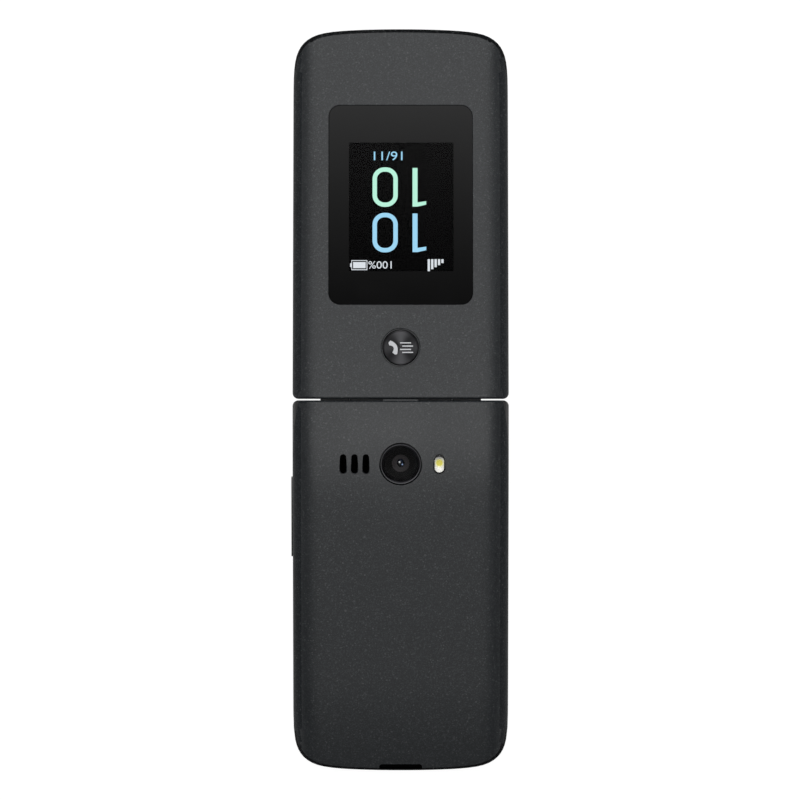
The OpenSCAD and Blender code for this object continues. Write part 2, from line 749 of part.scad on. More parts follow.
// Strip with two dome switches and the rib that the rocker turns on.
module volume_switch() color([0.8, 0.8, 0.78]) in_body() {
    mid = volume_start + volume_len / 2;
    slab([-half_w + 3.4, -half_w + 3.7], [mid - 9, mid + 9], [2.2, 4.2]);
    for (s = [-1, 1]) translate([-half_w + 2.9, mid + s * 6.5, 3.2]) rotate([0, 90, 0]) cylinder(r1 = 0.7, r2 = 0.95, h = 0.6);
    slab([rocker_x + 0.55, -half_w + 3.5], [mid - 0.4, mid + 0.4], [2.6, 3.9]);
}

module camera_module() color([0.05, 0.05, 0.06]) in_body() {
    slab([-4.3, 4.3], [camera_u - 4.3, camera_u + 4.3], [4, 8.2]);
    difference() {
        disc(3.3, [8.1, 9.7], [0, camera_u]);
        disc(1.7, [9, 10], [0, camera_u]);
    }
    translate([0, camera_u, 8.2]) sphere(r = 1.4);
}

module camera_ring() color(frame_black) in_body() difference() {
    disc(camera_r, [8.65, 10.85], [0, camera_u]);
    disc(4.75, [9.9, 12], [0, camera_u]);
    disc(4, [8, 12], [0, camera_u]);
    translate([0, camera_u, 10.5]) cylinder(r1 = 4.7, r2 = 5.15, h = 0.36);
}

module camera_window() color(gloss_black) in_body() disc(4.7, [9.95, 10.5], [0, camera_u]);

module flash_led() color([0.95, 0.85, 0.4]) in_body() {
    slab([flash_x - 1, flash_x + 1], [camera_u - 1, camera_u + 1], [4.4, 8.2]);
    disc(0.7, [8.2, 8.5], [flash_x, camera_u]);
}

module flash_lens() color([0.9, 0.9, 0.88]) in_body()
    plate([8.8, 10.3], [flash_x, camera_u]) capsule(flash_w, slot_len);

module loudspeaker() color([0.2, 0.2, 0.21]) in_body() difference() {
    plate([4.4, 8.1], [slot_x, 17.5]) round_rect(13, 15, 1.5);
    plate([7.8, 9], [slot_x, 17.5]) round_rect(10.5, 12.5, 1.5);
}

module speaker_mesh() color([0.12, 0.12, 0.12]) in_body() difference() {
    plate([8.2, 8.35], [slot_x, camera_u + 0.4]) round_rect(10.6, 7.4, 1);
    for (i = [-5 : 5], j = [-3 : 3]) plate([8, 9], [slot_x + i * 0.9, camera_u + 0.4 + j * 0.9]) square(0.4, center = true);
}

module usb_port() color(metal) in_body() translate([0, half_len - 9, port_z]) rotate([-90, 0, 0]) {
    difference() {
        linear_extrude(7.6) round_rect(8.94, 3.2, 1.5);
        translate([0, 0, 1]) linear_extrude(8) round_rect(8.34, 2.6, 1.25);
    }
    linear_extrude(6.8) square([6.7, 0.7], center = true);
}

module sim_holder() color(metal) in_body() difference() {
    slab([-18, -4], [38.4, 50.6], [board_z[1] + 0.02, 4.7]);
    slab([-17.4, -4.6], [39, 52], [board_z[1] + 0.3, 4.4]);
    plate([4, 6], [-11, 44]) round_rect(9, 7, 1);
}

module vibration_motor() color(metal) in_body() {
    disc(4, [4.4, 7.1], [19, 23.6]);
    disc(1, [4.1, 4.5], [19, 23.6]);
}

module microphone() color(metal) in_body() difference() {
    slab([-10.5, -7.5], [96.2, 98.4], [1.5, 2.4]);
    disc(0.35, [1, 2.2], [-9, 97.4]);
}

module body_screws() color(metal) in_body() both_sides(BODY_SCREWS) screw(5.62, 3.6, false);

// ---- Assembly ------------------------------------------------------------------------------------

lid_outer_shell();
lid_inner_shell();
lid_chassis();
sub_display_lens();
sub_display_panel();
main_display_lens();
main_display_panel();
earpiece();
earpiece_mesh();
quick_key();
quick_key_switch();
lid_board();
lid_magnet();
lid_bumpers();
lid_screws();
hinge_cartridge();
hinge_shaft();
hinge_bush();
hinge_flex();
keypad_shell();
rear_housing();
battery_cover();
battery();
battery_contacts();
main_board();
dome_sheet();
soft_key(1);  // soft_key_left
soft_key(-1);  // soft_key_right
nav_ring();
ok_key();
call_row_key(column_pitch);  // call_key
call_row_key(0);  // back_key
call_row_key(-column_pitch);  // end_key
for (d = DIGITS) digit_key(d[0]);
volume_key();
volume_switch();
camera_module();
camera_ring();
camera_window();
flash_led();
flash_lens();
loudspeaker();
speaker_mesh();
usb_port();
sim_holder();
vibration_motor();
microphone();
body_screws();
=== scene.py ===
"""Flip phone, open on its stop and laid face down like a low tent, dressed over its CAD frame.

Every piece is modelled flat in the frame of its own half, in millimetres: x across the phone,
u away from the hinge axis, z from the inner face to the back. seat() then tilts it into place.
"""

import logging
import math
from contextlib import contextmanager
from dataclasses import dataclass, field
from enum import Enum
from typing import Callable, Iterator, Sequence

import bpy
import numpy as np
from mathutils import Matrix, Vector


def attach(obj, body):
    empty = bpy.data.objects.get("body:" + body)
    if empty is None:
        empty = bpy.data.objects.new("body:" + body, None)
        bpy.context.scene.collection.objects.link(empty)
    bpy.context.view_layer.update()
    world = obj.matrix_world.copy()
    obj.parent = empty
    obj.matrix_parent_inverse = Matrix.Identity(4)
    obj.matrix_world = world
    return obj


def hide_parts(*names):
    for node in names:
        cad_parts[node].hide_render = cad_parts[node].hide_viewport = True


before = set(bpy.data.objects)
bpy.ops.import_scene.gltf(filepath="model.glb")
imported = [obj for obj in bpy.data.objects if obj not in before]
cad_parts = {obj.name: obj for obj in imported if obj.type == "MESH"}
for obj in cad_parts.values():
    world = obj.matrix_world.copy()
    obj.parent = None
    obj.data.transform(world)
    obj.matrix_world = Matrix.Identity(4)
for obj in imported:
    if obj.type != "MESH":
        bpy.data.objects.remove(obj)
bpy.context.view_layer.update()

LOG = logging.getLogger("flip_phone")
MM = 0.001

# Outer form of both halves, in millimetres, with the lean that each has on the table.
TILT = math.radians(10.0)
HALF_LEN = 100.8
HALF_W = 29.1
LID_TOP = 7.8
BODY_TOP = 10.9
HINGE_H = (HALF_LEN - 0.5) * math.sin(TILT) - 0.2 * math.cos(TILT)
ROLL_W = 7.5
ROLL_R = ROLL_W / math.sin(math.radians(56.0))
END_LEN = 35.0
END_START = HALF_LEN - END_LEN
END_POWER_X = 3.9
END_POWER_U = 10.4
END_BOW = 0.14
BOW_POWER = 90.0
EDGE_R = 0.8
SLIT = 0.38
BEND_R = 117.0
BEND_END = 26.6
TAIL_START = 77.0
TAIL_R = 100.0
WALL = 1.2
KNUCKLE_R = 5.0
BARREL_HALF = 22.0

# Places and sizes that several pieces share, in millimetres.
WINDOW = (38.8, 54.9)
WINDOW_U = 52.1
QUICK_KEY_U = 12.9
QUICK_KEY_R = 4.75
CAMERA_U = 15.7
FLASH_X = 10.4
COLUMN = 15.6
ROW = 10.9
PRINT = 0.025

# Heights beyond the shells, where their forms are closed and the lid's cutters end.
FOOT_Z = -3.0
ABOVE = 9.0

Pair = tuple[float, float]
Point = tuple[float, float, float]
Plan = list[Pair]
Colour = tuple[float, float, float]


class Half(Enum):
    """The two halves of the phone, named as the bodies that they are."""

    LID = "lid"
    BODY = "phone_body"

    @property
    def matrix(self) -> Matrix:
        """Places the half's own frame, in millimetres, into the shared frame, in metres."""
        side = 1.0 if self is Half.LID else -1.0
        place = Matrix.Translation((0.0, 0.0, HINGE_H * MM)) @ Matrix.Rotation(-side * TILT, 4, "X")
        return place @ Matrix.Diagonal((MM, side * MM, MM, 1.0))

    def back(self, u: float) -> float:
        """Height of the middle of the back at u."""
        if self is Half.LID:
            return LID_TOP
        bend_start = BEND_END - BEND_R * math.sin(TILT)
        if u < bend_start:
            return BODY_TOP - BEND_R * (1 - math.cos(TILT)) - (bend_start - u) * math.tan(TILT)
        if u < BEND_END:
            return BODY_TOP - BEND_R + math.sqrt(BEND_R ** 2 - (BEND_END - u) ** 2)
        if u < TAIL_START:
            return BODY_TOP
        return BODY_TOP - TAIL_R + math.sqrt(TAIL_R ** 2 - (u - TAIL_START) ** 2)


# ---- Modelling by operators ---------------------------------------------------------------


def deselect() -> None:
    """Leaves nothing selected."""
    for thing in bpy.context.selected_objects:
        thing.select_set(False)


def activate(obj: bpy.types.Object) -> None:
    """Makes obj the only selected object and the active one."""
    deselect()
    obj.select_set(True)
    bpy.context.view_layer.objects.active = obj


@contextmanager
def editing(obj: bpy.types.Object, mode: str = "VERT", everything: bool = True) -> Iterator[None]:
    """Runs a block in edit mode.

    Args:
        obj: the mesh object.
        mode: VERT, EDGE or FACE.
        everything: selects the whole mesh first; otherwise the selection stays.
    """
    activate(obj)
    bpy.ops.object.mode_set(mode="EDIT")
    bpy.ops.mesh.select_mode(type=mode)
    if everything:
        bpy.ops.mesh.select_all(action="SELECT")
    yield
    bpy.ops.object.mode_set(mode="OBJECT")


def select_faces(obj: bpy.types.Object, test: Callable[[Vector, Vector], bool]) -> int:
    """Selects exactly the faces whose centre and normal pass the test.

    Args:
        obj: the mesh object, in object mode.
        test: takes a face's centre and its normal.

    Returns:
        How many faces are selected.
    """
    mesh = obj.data
    for v in mesh.vertices:
        v.select = False
    for e in mesh.edges:
        e.select = False
    count = 0
    for p in mesh.polygons:
        p.select = test(p.center, p.normal)
        count += p.select
    return count


def named(obj: bpy.types.Object, name: str) -> bpy.types.Object:
    """Names an object and its mesh."""
    obj.name = obj.data.name = name
    return obj


def tidy(obj: bpy.types.Object, merge: float = 1e-4) -> bpy.types.Object:
    """Merges doubles and turns the faces outwards."""
    with editing(obj):
        bpy.ops.mesh.remove_doubles(threshold=merge)
        bpy.ops.mesh.normals_make_consistent(inside=False)
    return obj


def loft(name: str, rows: Sequence[Sequence[Point]]) -> bpy.types.Object:
    """A skin over rows of points: a grid whose vertices are moved to them.

    Args:
        name: the piece's name.
        rows: rows of equally many points; equal points are merged.

    Returns:
        The object.
    """
    deselect()
    bpy.ops.mesh.primitive_grid_add(x_subdivisions=len(rows[0]) - 1, y_subdivisions=len(rows) - 1)
    obj = named(bpy.context.object, name)
    flat = np.array([p for row in rows for p in row], float).reshape(-1)
    obj.data.vertices.foreach_set("co", flat)
    obj.data.update()
    return tidy(obj)


def turned(name: str, profile: Sequence[Pair], centre: Pair, steps: int = 64,
           wave: Callable[[float, float], float] = lambda r, a: 0.0) -> bpy.types.Object:
    """A turned piece round an upright axis.

    Args:
        name: the piece's name.
        profile: (radius, height) points; a closed solid starts and ends at radius 0.
        centre: x and u of the axis.
        steps: how many sides the turn has.
        wave: adds to the height at a radius and an angle.

    Returns:
        The object.
    """
    rows = []
    for r, z in profile:
        row = []
        for i in range(steps + 1):
            a = 2 * math.pi * (i % steps) / steps
            row.append((centre[0] + r * math.cos(a), centre[1] + r * math.sin(a), z + wave(r, a)))
        rows.append(row)
    return loft(name, rows)


def prism(name: str, plan: Plan, low: float, high: float) -> bpy.types.Object:
    """A plan outline extruded from one height to another."""
    deselect()
    bpy.ops.mesh.primitive_circle_add(vertices=len(plan), radius=1.0, fill_type="NGON")
    obj = named(bpy.context.object, name)
    for v, p in zip(obj.data.vertices, plan):
        v.co = (p[0], p[1], low)
    with editing(obj, "FACE"):
        bpy.ops.mesh.extrude_region_move(TRANSFORM_OT_translate={"value": (0.0, 0.0, high - low)})
    return tidy(obj)


def cap(obj: bpy.types.Object, z: float) -> None:
    """Closes the open loop that lies at one height."""
    mesh = obj.data
    uses = np.zeros(len(mesh.edges), int)
    for p in mesh.polygons:
        for i in p.loop_indices:
            uses[mesh.loops[i].edge_index] += 1
    select_faces(obj, lambda centre, normal: False)
    for e in mesh.edges:
        if uses[e.index] == 1 and all(abs(mesh.vertices[v].co.z - z) < 1e-4 for v in e.vertices):
            e.select = True
            for v in e.vertices:
                mesh.vertices[v].select = True
    with editing(obj, "EDGE", everything=False):
        bpy.ops.mesh.edge_face_add()


def stacked(name: str, layers: Sequence[tuple[Plan, float]]) -> bpy.types.Object:
    """A closed solid through plan outlines of equally many points, each at its height."""
    obj = loft(name, [[(x, y, z) for x, y in [*plan, plan[0]]] for plan, z in layers])
    cap(obj, layers[0][1])
    cap(obj, layers[-1][1])
    return tidy(obj)


def box_at(name: str, low: Point, high: Point) -> bpy.types.Object:
    """A block between two corners."""
    plan = [(low[0], low[1]), (high[0], low[1]), (high[0], high[1]), (low[0], high[1])]
    return prism(name, plan, low[2], high[2])


def barrel_room(steps: int = 64) -> bpy.types.Object:
    """The round room that each shell leaves for the hinge: a rod along the hinge axis."""
    turns = [2 * math.pi * (i % steps) / steps for i in range(steps + 1)]
    ends = ((-BARREL_HALF, 0.0), (-BARREL_HALF, KNUCKLE_R), (BARREL_HALF, KNUCKLE_R), (BARREL_HALF, 0.0))
    return loft("barrel_room", [[(x, r * math.cos(a), r * math.sin(a)) for a in turns] for x, r in ends])


def apply_modifier(obj: bpy.types.Object, kind: str, **settings: object) -> bpy.types.Object:
    """Adds a modifier with its settings and applies it."""
    activate(obj)
    modifier = obj.modifiers.new(kind.lower(), kind)
    for key, value in settings.items():
        setattr(modifier, key, value)
    bpy.ops.object.modifier_apply(modifier=modifier.name)
    return obj


def boolean(obj: bpy.types.Object, cutter: bpy.types.Object,
            operation: str = "DIFFERENCE") -> bpy.types.Object:
    """Cuts, joins or intersects obj with a cutter, which is then deleted."""
    apply_modifier(obj, "BOOLEAN", operation=operation, solver="EXACT", object=cutter)
    bpy.data.objects.remove(cutter)
    return obj


def cut_opening(obj: bpy.types.Object, plan: Callable[[float], Plan], steps: Sequence[Pair]) -> None:
    """Cuts an opening that gets wider as it rises.

    Args:
        obj: the shell.
        plan: its outline, grown by a distance.
        steps: (growth, height) pairs from its foot to its top.
    """
    boolean(obj, stacked("opening", [(plan(grow), z) for grow, z in steps]))


def soften(obj: bpy.types.Object, width: float, segments: int = 2) -> bpy.types.Object:
    """Bevels the sharp edges."""
    return apply_modifier(obj, "BEVEL", width=width, segments=segments, limit_method="ANGLE",
                          angle_limit=math.radians(32.0), miter_outer="MITER_ARC",
                          harden_normals=False, use_clamp_overlap=True)


def smooth(obj: bpy.types.Object, angle: float = 28.0) -> bpy.types.Object:
    """Shades smooth across edges flatter than the angle."""
    activate(obj)
    bpy.ops.object.shade_smooth_by_angle(angle=math.radians(angle))
    return obj


def join(name: str, *parts: bpy.types.Object) -> bpy.types.Object:
    """Joins pieces into one object."""
    deselect()
    for part in parts:
        part.select_set(True)
    bpy.context.view_layer.objects.active = parts[0]
    bpy.ops.object.join()
    return named(bpy.context.object, name)


def seat(obj: bpy.types.Object, half: Half) -> bpy.types.Object:
    """Tilts a piece from its half's own frame into the shared frame; its object stays at the origin."""
    obj.data.transform(half.matrix)
    if half is Half.BODY:
        obj.data.flip_normals()
    obj.data.update()
    return obj


def paint(obj: bpy.types.Object, *finishes: "Finish") -> None:
    """Gives a piece its finishes and keeps each face's share of them."""
    shares = [p.material_index for p in obj.data.polygons] if len(finishes) > 1 else []
    obj.data.materials.clear()
    for finish in finishes:
        obj.data.materials.append(finish.build())
    for p, share in zip(obj.data.polygons, shares):
        p.material_index = share


def dress(obj: bpy.types.Object, half: Half | None, slot: str, body: str, nodes: Sequence[str],
          *finishes: "Finish") -> bpy.types.Object:
    """Finishes a piece and puts it in its place.

    Args:
        obj: the piece.
        half: the half in whose own frame it is modelled; None if it is in the shared frame.
        slot: its material slot; not used.
        body: the body that it rides on.
        nodes: the CAD nodes that it stands for; none for trim.
        finishes: its finishes, numbered as on its faces; none keeps those that it has.

    Returns:
        The same object.
    """
    if half:
        seat(obj, half)
    if finishes:
        paint(obj, *finishes)
    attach(obj, body)
    if nodes:
        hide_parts(*nodes)
    faces = len(obj.data.polygons)
    LOG.info("%s: %d faces, on %s, for %s", obj.name, faces, body, ", ".join(nodes) or "trim")
    return obj


def paint_faces(obj: bpy.types.Object, index: int, test: Callable[[Vector, Vector], bool]) -> None:
    """Gives the faces that pass the test another of the piece's materials."""
    for p in obj.data.polygons:
        if test(p.center, p.normal):
            p.material_index = index


# ---- Plan outlines ------------------------------------------------------------------------


def circle(r: float, at: Pair, steps: int = 96) -> Plan:
    """A circle as points."""
    turns = (2 * math.pi * i / steps for i in range(steps))
    return [(at[0] + r * math.cos(a), at[1] + r * math.sin(a)) for a in turns]


def rounded(w: float, l: float, r: float, at: Pair, steps: int = 10) -> Plan:
    """A rectangle with round corners, w across x and l along u, as points."""
    points = []
    for k, (sx, sy) in enumerate([(1, 1), (-1, 1), (-1, -1), (1, -1)]):
        for i in range(steps + 1):
            a = math.pi / 2 * (k + i / steps)
            points.append((at[0] + sx * (w / 2 - r) + r * math.cos(a),
                           at[1] + sy * (l / 2 - r) + r * math.sin(a)))
    return points


def capsule(w: float, l: float, at: Pair) -> Plan:
    """A slot outline, l along u, as points."""
    return rounded(w, l, w / 2 - 0.001, at, steps=16)


# ---- Outer form of a half -----------------------------------------------------------------


def side_drop(x: float, inset: float) -> float:
    """How far the back, or a form that lies inset within it, has rolled down at x."""
    r = ROLL_R - inset
    over = max(0.0, abs(x) - (HALF_W - ROLL_W))
    return r - math.sqrt(max(0.0, r * r - over * over))


def end_point(angle: float, inset: float) -> Pair:
    """A point of the free end's outline.

    Args:
        angle: from 0 at the side to a quarter turn at the tip.
        inset: how far the outline is drawn in.

    Returns:
        Its x and u.
    """
    v = math.sin(angle) ** (2 / END_POWER_U)
    power = 2 * (1 / END_POWER_X + END_BOW * v ** BOW_POWER)
    across = (HALF_W - inset) * math.cos(angle) ** power if angle < math.pi / 2 - 1e-9 else 0.0
    return across, END_START + (END_LEN - inset) * v


def end_angles(steps: int) -> list[float]:
    """Angles along the free end, closer together where its outline turns."""
    dense = np.linspace(0.0, math.pi / 2, 4000)
    x, u = (np.array(c) for c in zip(*(end_point(a, 0.0) for a in dense)))
    du, dx = np.diff(u), np.diff(x)
    turn = np.abs(np.diff(np.unwrap(np.arctan2(dx, du)), prepend=0.0))
    weight = np.hypot(du, dx) + 9.0 * np.minimum(turn, 0.2)
    total = np.concatenate([[0.0], np.cumsum(weight)])
    return list(np.interp(np.linspace(0.0, total[-1], steps + 1), total, dense))


END_ANGLES = end_angles(26)


@dataclass(frozen=True)
class HalfForm:
    """The moulded form of a half, as nested rings of its outline that close on the middle line.

    Args:
        half: which half.
        split: height of its flat lower rim.
        wall: how far it lies inside the outer form; 0 is the outer form itself.
        start: where an inner form begins, from the hinge axis; None follows the slit.
    """

    half: Half
    split: float
    wall: float = 0.0
    start: float | None = None

    def ring(self, inset: float, drop: float, foot: bool = False) -> list[Point]:
        """One ring of the form.

        Args:
            inset: how far it is drawn in from the outline.
            drop: how far it lies below the back.
            foot: puts it at the foot instead.

        Returns:
            Points from the hinge's middle, round and back.
        """
        s = self.wall + inset
        w = HALF_W - s
        corner = min(w, max(0.05, 1.6 - s))
        side: list[tuple[float, float, bool]] = []
        for i in range(12):
            side.append(((w - corner) * i / 12, 0.0, True))
        for i in range(7):
            a = math.pi / 2 * i / 6
            side.append((w - corner * (1 - math.sin(a)), corner * (1 - math.cos(a)), True))
        start_u = max(2.6, s + 1.0) if self.start is None else self.start + inset + corner + 1.0
        for i in range(28):
            side.append((w, start_u + (END_START - 0.4 - start_u) * i / 27, False))
        for a in END_ANGLES:
            side.append((*end_point(a, s), False))
        points = []
        for x, along, upright in side:
            u = along if not upright else along + s
            for _ in range(4):
                back = self.half.back(max(u, -3.0))
                z = FOOT_Z if foot else back - self.wall - drop - side_drop(x, self.wall)
                if upright and self.start is None:
                    u = (SLIT / 2 + s + along - z * math.sin(TILT)) / math.cos(TILT)
                elif upright:
                    u = self.start + inset + along
            points.append((x, u, z))
        return points + [(-x, u, z) for x, u, z in reversed(points[:-1])]

    def build(self, name: str) -> bpy.types.Object:
        """The closed form.

        Args:
            name: the piece's name.

        Returns:
            The object.
        """
        rows = [self.ring(0.0, 0.0, foot=True)]
        if self.wall == 0.0:
            for i in range(5):
                t = math.pi / 2 * i / 4
                rows.append(self.ring(EDGE_R * (1 - math.cos(t)), EDGE_R * (1 - math.sin(t))))
        else:
            rows.append(self.ring(0.0, 0.0))
        for inset in (1.1, 1.6, 2.3, 3.2, 4.3, 5.7, 7.5, 10.0, 13.5, 18.0, 23.0, HALF_W - self.wall):
            rows.append(self.ring(inset, 0.0))
        obj = loft(name, rows)
        cap(obj, FOOT_Z)
        with editing(obj):
            bpy.ops.mesh.bisect(plane_co=(0.0, 0.0, self.split), plane_no=(0.0, 0.0, 1.0),
                                use_fill=True, clear_inner=True)
        return tidy(obj)


# ---- Node groups --------------------------------------------------------------------------


class Nodes:
    """A small writer of node trees.

    Args:
        tree: the tree that it writes into.
    """

    def __init__(self, tree: bpy.types.NodeTree) -> None:
        """Keeps the tree."""
        self.tree = tree

    def add(self, kind: str, inputs: dict[str | int, object] | None = None,
            **settings: object) -> bpy.types.Node:
        """Adds a node.

        Args:
            kind: its type.
            inputs: socket names or numbers, each with a value or the socket that feeds it.
            settings: the node's own properties.

        Returns:
            The node.
        """
        node = self.tree.nodes.new(kind)
        for key, value in settings.items():
            setattr(node, key, value)
        for key, value in (inputs or {}).items():
            socket = node.inputs[key]
            if isinstance(value, bpy.types.NodeSocket):
                self.tree.links.new(value, socket)
            else:
                socket.default_value = value
        return node

    def link(self, source: bpy.types.NodeSocket, target: bpy.types.NodeSocket) -> None:
        """Joins two sockets."""
        self.tree.links.new(source, target)

    def place(self) -> bpy.types.NodeSocket:
        """The shaded point in its object's own coordinates."""
        return self.add("ShaderNodeTexCoord").outputs["Object"]

    def math(self, operation: str, *values: object) -> bpy.types.NodeSocket:
        """A Math node's result."""
        return self.add("ShaderNodeMath", dict(enumerate(values)), operation=operation).outputs[0]

    def span(self, value: object, low: float, high: float, to_low: float = 0.0,
             to_high: float = 1.0) -> bpy.types.NodeSocket:
        """A value carried from one range to another, clamped."""
        ranges = {0: value, 1: low, 2: high, 3: to_low, 4: to_high}
        return self.add("ShaderNodeMapRange", ranges).outputs[0]

    def mix(self, factor: object, a: object, b: object) -> bpy.types.NodeSocket:
        """A colour between two colours."""
        return self.add("ShaderNodeMix", {0: factor, 6: a, 7: b}, data_type="RGBA").outputs[2]

    def bump(self, shader: bpy.types.Node, depth: float, height: bpy.types.NodeSocket) -> None:
        """Lets a height of so many metres tilt a shader's normal."""
        node = self.add("ShaderNodeBump", {"Strength": 1.0, "Distance": depth, "Height": height})
        self.link(node.outputs[0], shader.inputs["Normal"])


def node_group(name: str, inputs: dict[str, float], outputs: Sequence[str]) -> tuple[Nodes, list, list]:
    """Starts a shader node group.

    Args:
        name: its name.
        inputs: its number inputs with their defaults.
        outputs: its number outputs.

    Returns:
        The group's writer, the sockets that its inputs arrive at and those that its outputs leave by.
    """
    tree = bpy.data.node_groups.new(name, "ShaderNodeTree")
    for key, value in inputs.items():
        socket = tree.interface.new_socket(key, in_out="INPUT", socket_type="NodeSocketFloat")
        socket.default_value = value
    for key in outputs:
        tree.interface.new_socket(key, in_out="OUTPUT", socket_type="NodeSocketFloat")
    n = Nodes(tree)
    return n, list(n.add("NodeGroupInput").outputs), list(n.add("NodeGroupOutput").inputs)


def grain_group(name: str) -> None:
    """Fine moulded grain with slow mottling: a height and a mask."""
    n, given, out = node_group(name, {"Grain per m": 6000.0, "Mottle per m": 90.0}, ("Height", "Mottle"))
    place = n.place()
    fine = n.add("ShaderNodeTexNoise", {"Vector": place, "Scale": given[0], "Detail": 2.0, "Roughness": 0.55})
    slow = n.add("ShaderNodeTexNoise", {"Vector": place, "Scale": given[1], "Detail": 3.0, "Roughness": 0.6})
    n.link(fine.outputs["Fac"], out[0])
    n.link(n.span(slow.outputs["Fac"], 0.32, 0.68), out[1])


def flake_group(name: str) -> None:
    """Metal flakes in paint: which cells are bright flakes, and a random tone for every cell."""
    n, given, out = node_group(name, {"Flakes per m": 5200.0, "Bright share": 0.12}, ("Sparkle", "Bed"))
    cells = n.add("ShaderNodeTexVoronoi", {"Vector": n.place(), "Scale": given[0], "Randomness": 1.0})
    tone = n.add("ShaderNodeSeparateColor", {0: cells.outputs["Color"]}).outputs[0]
    over = n.math("SUBTRACT", tone, n.math("SUBTRACT", 1.0, given[1]))
    n.link(n.add("ShaderNodeClamp", {0: n.math("DIVIDE", over, given[1])}).outputs[0], out[0])
    n.link(tone, out[1])


def smudge_group(name: str) -> None:
    """Faint handling marks on a polished face: a mask."""
    n, given, out = node_group(name, {"Marks per m": 60.0}, ("Marks",))
    slow = n.add("ShaderNodeTexNoise",
                 {"Vector": n.place(), "Scale": given[0], "Detail": 4.0, "Distortion": 0.6})
    n.link(n.span(slow.outputs["Fac"], 0.45, 0.75), out[0])


def spun_group(name: str) -> None:
    """Turned rings round an axis: their height, the turn, the radius and the way along the phone."""
    n, given, out = node_group(name, {"X": 0.0, "Y": 0.0, "Rings per m": 9000.0},
                               ("Height", "Turn", "Radius", "Along"))
    place = n.add("ShaderNodeSeparateXYZ", {0: n.place()})
    dx = n.math("SUBTRACT", place.outputs[0], given[0])
    dy = n.math("DIVIDE", n.math("SUBTRACT", place.outputs[1], given[1]), math.cos(TILT))
    radius = n.math("SQRT", n.math("ADD", n.math("MULTIPLY", dx, dx), n.math("MULTIPLY", dy, dy)))
    along_radius = n.math("MULTIPLY", radius, given[2])
    rings = n.add("ShaderNodeTexNoise", {"W": along_radius, "Scale": 1.0, "Detail": 2.0},
                  noise_dimensions="1D")
    for socket, target in zip((rings.outputs["Fac"], n.math("ARCTAN2", dy, dx), radius, dy), out):
        n.link(socket, target)


class Groups(Enum):
    """The shared effects, each built once."""

    GRAIN = "moulded_grain"
    FLAKE = "metal_flake"
    SMUDGE = "handling_marks"
    SPUN = "spun_rings"

    def use(self, n: Nodes, **values: float) -> bpy.types.Node:
        """Places the effect's node group in a material with its own values, and makes it at its first use."""
        makers = {Groups.GRAIN: grain_group, Groups.FLAKE: flake_group,
                  Groups.SMUDGE: smudge_group, Groups.SPUN: spun_group}
        if self.value not in bpy.data.node_groups:
            makers[self](self.value)
        node = n.tree.nodes.new("ShaderNodeGroup")
        node.node_tree = bpy.data.node_groups[self.value]
        for key, value in values.items():
            node.inputs[key.replace("_", " ")].default_value = value
        return node


# ---- Finishes -----------------------------------------------------------------------------


def rgba(color: Colour, factor: float = 1.0) -> tuple[float, float, float, float]:
    """A colour made lighter or darker, as a socket takes it."""
    return (*(min(1.0, c * factor) for c in color), 1.0)


@dataclass(frozen=True)
class Finish:
    """A finish of one colour with fine grain and slow mottling.

    Args:
        name: its name.
        color: its colour, linear.
        roughness: how rough it is.
        metallic: 1 for bare metal.
        grain: grain cells per metre.
        depth: height of the grain in metres.
        mottle: how much the colour and roughness vary.
        coat: strength of a clear lacquer over it.
        specular: strength of its plain reflection.
    """

    name: str
    color: Colour
    roughness: float
    metallic: float = 0.0
    grain: float = 6000.0
    depth: float = 0.000004
    mottle: float = 0.12
    coat: float = 0.0
    specular: float = 0.5

    def build(self) -> bpy.types.Material:
        """The material, made at its first use, with the finish's numbers on the shader's own sockets."""
        found = bpy.data.materials.get(self.name)
        if found:
            return found
        material = bpy.data.materials.new(self.name)
        material.use_nodes = True
        material.diffuse_color = rgba(self.color)
        shader = material.node_tree.nodes["Principled BSDF"]
        plain = {"Base Color": rgba(self.color), "Roughness": self.roughness, "Metallic": self.metallic,
                 "Specular IOR Level": self.specular, "Coat Weight": self.coat, "Coat Roughness": 0.08}
        for key, value in plain.items():
            shader.inputs[key].default_value = value
        self.nodes(Nodes(material.node_tree), shader)
        return material

    def nodes(self, n: Nodes, shader: bpy.types.Node) -> None:
        """Writes the grain and the mottling."""
        grain = Groups.GRAIN.use(n, Grain_per_m=self.grain)
        mottle = grain.outputs["Mottle"]
        tone = n.mix(mottle, rgba(self.color, 1 - self.mottle), rgba(self.color, 1 + self.mottle))
        swing = self.roughness * self.mottle * 0.6
        rough = n.span(mottle, 0.0, 1.0, self.roughness - swing, min(1.0, self.roughness + swing))
        n.link(tone, shader.inputs["Base Color"])
        n.link(rough, shader.inputs["Roughness"])
        n.bump(shader, self.depth, grain.outputs["Height"])


@dataclass(frozen=True)
class FlakePaint(Finish):
    """Satin metallic paint: a dark bed, fine flakes and a few bright ones."""

    def nodes(self, n: Nodes, shader: bpy.types.Node) -> None:
        """Writes the flakes."""
        fine = Groups.FLAKE.use(n, Flakes_per_m=4600.0, Bright_share=0.3)
        coarse = Groups.FLAKE.use(n, Flakes_per_m=3100.0, Bright_share=0.06)
        grain = Groups.GRAIN.use(n, Grain_per_m=2600.0, Mottle_per_m=45.0)
        base = n.mix(fine.outputs["Bed"], rgba(self.color, 0.62), rgba(self.color, 1.3))
        glint = n.math("MAXIMUM", n.math("MULTIPLY", fine.outputs["Sparkle"], 0.14),
                       n.math("MULTIPLY", coarse.outputs["Sparkle"], 0.34))
        rough = n.span(grain.outputs["Mottle"], 0.0, 1.0, self.roughness - 0.03, self.roughness + 0.03)
        n.link(n.mix(glint, base, (0.12, 0.124, 0.128, 1.0)), shader.inputs["Base Color"])
        n.link(rough, shader.inputs["Roughness"])
        n.bump(shader, self.depth, grain.outputs["Height"])


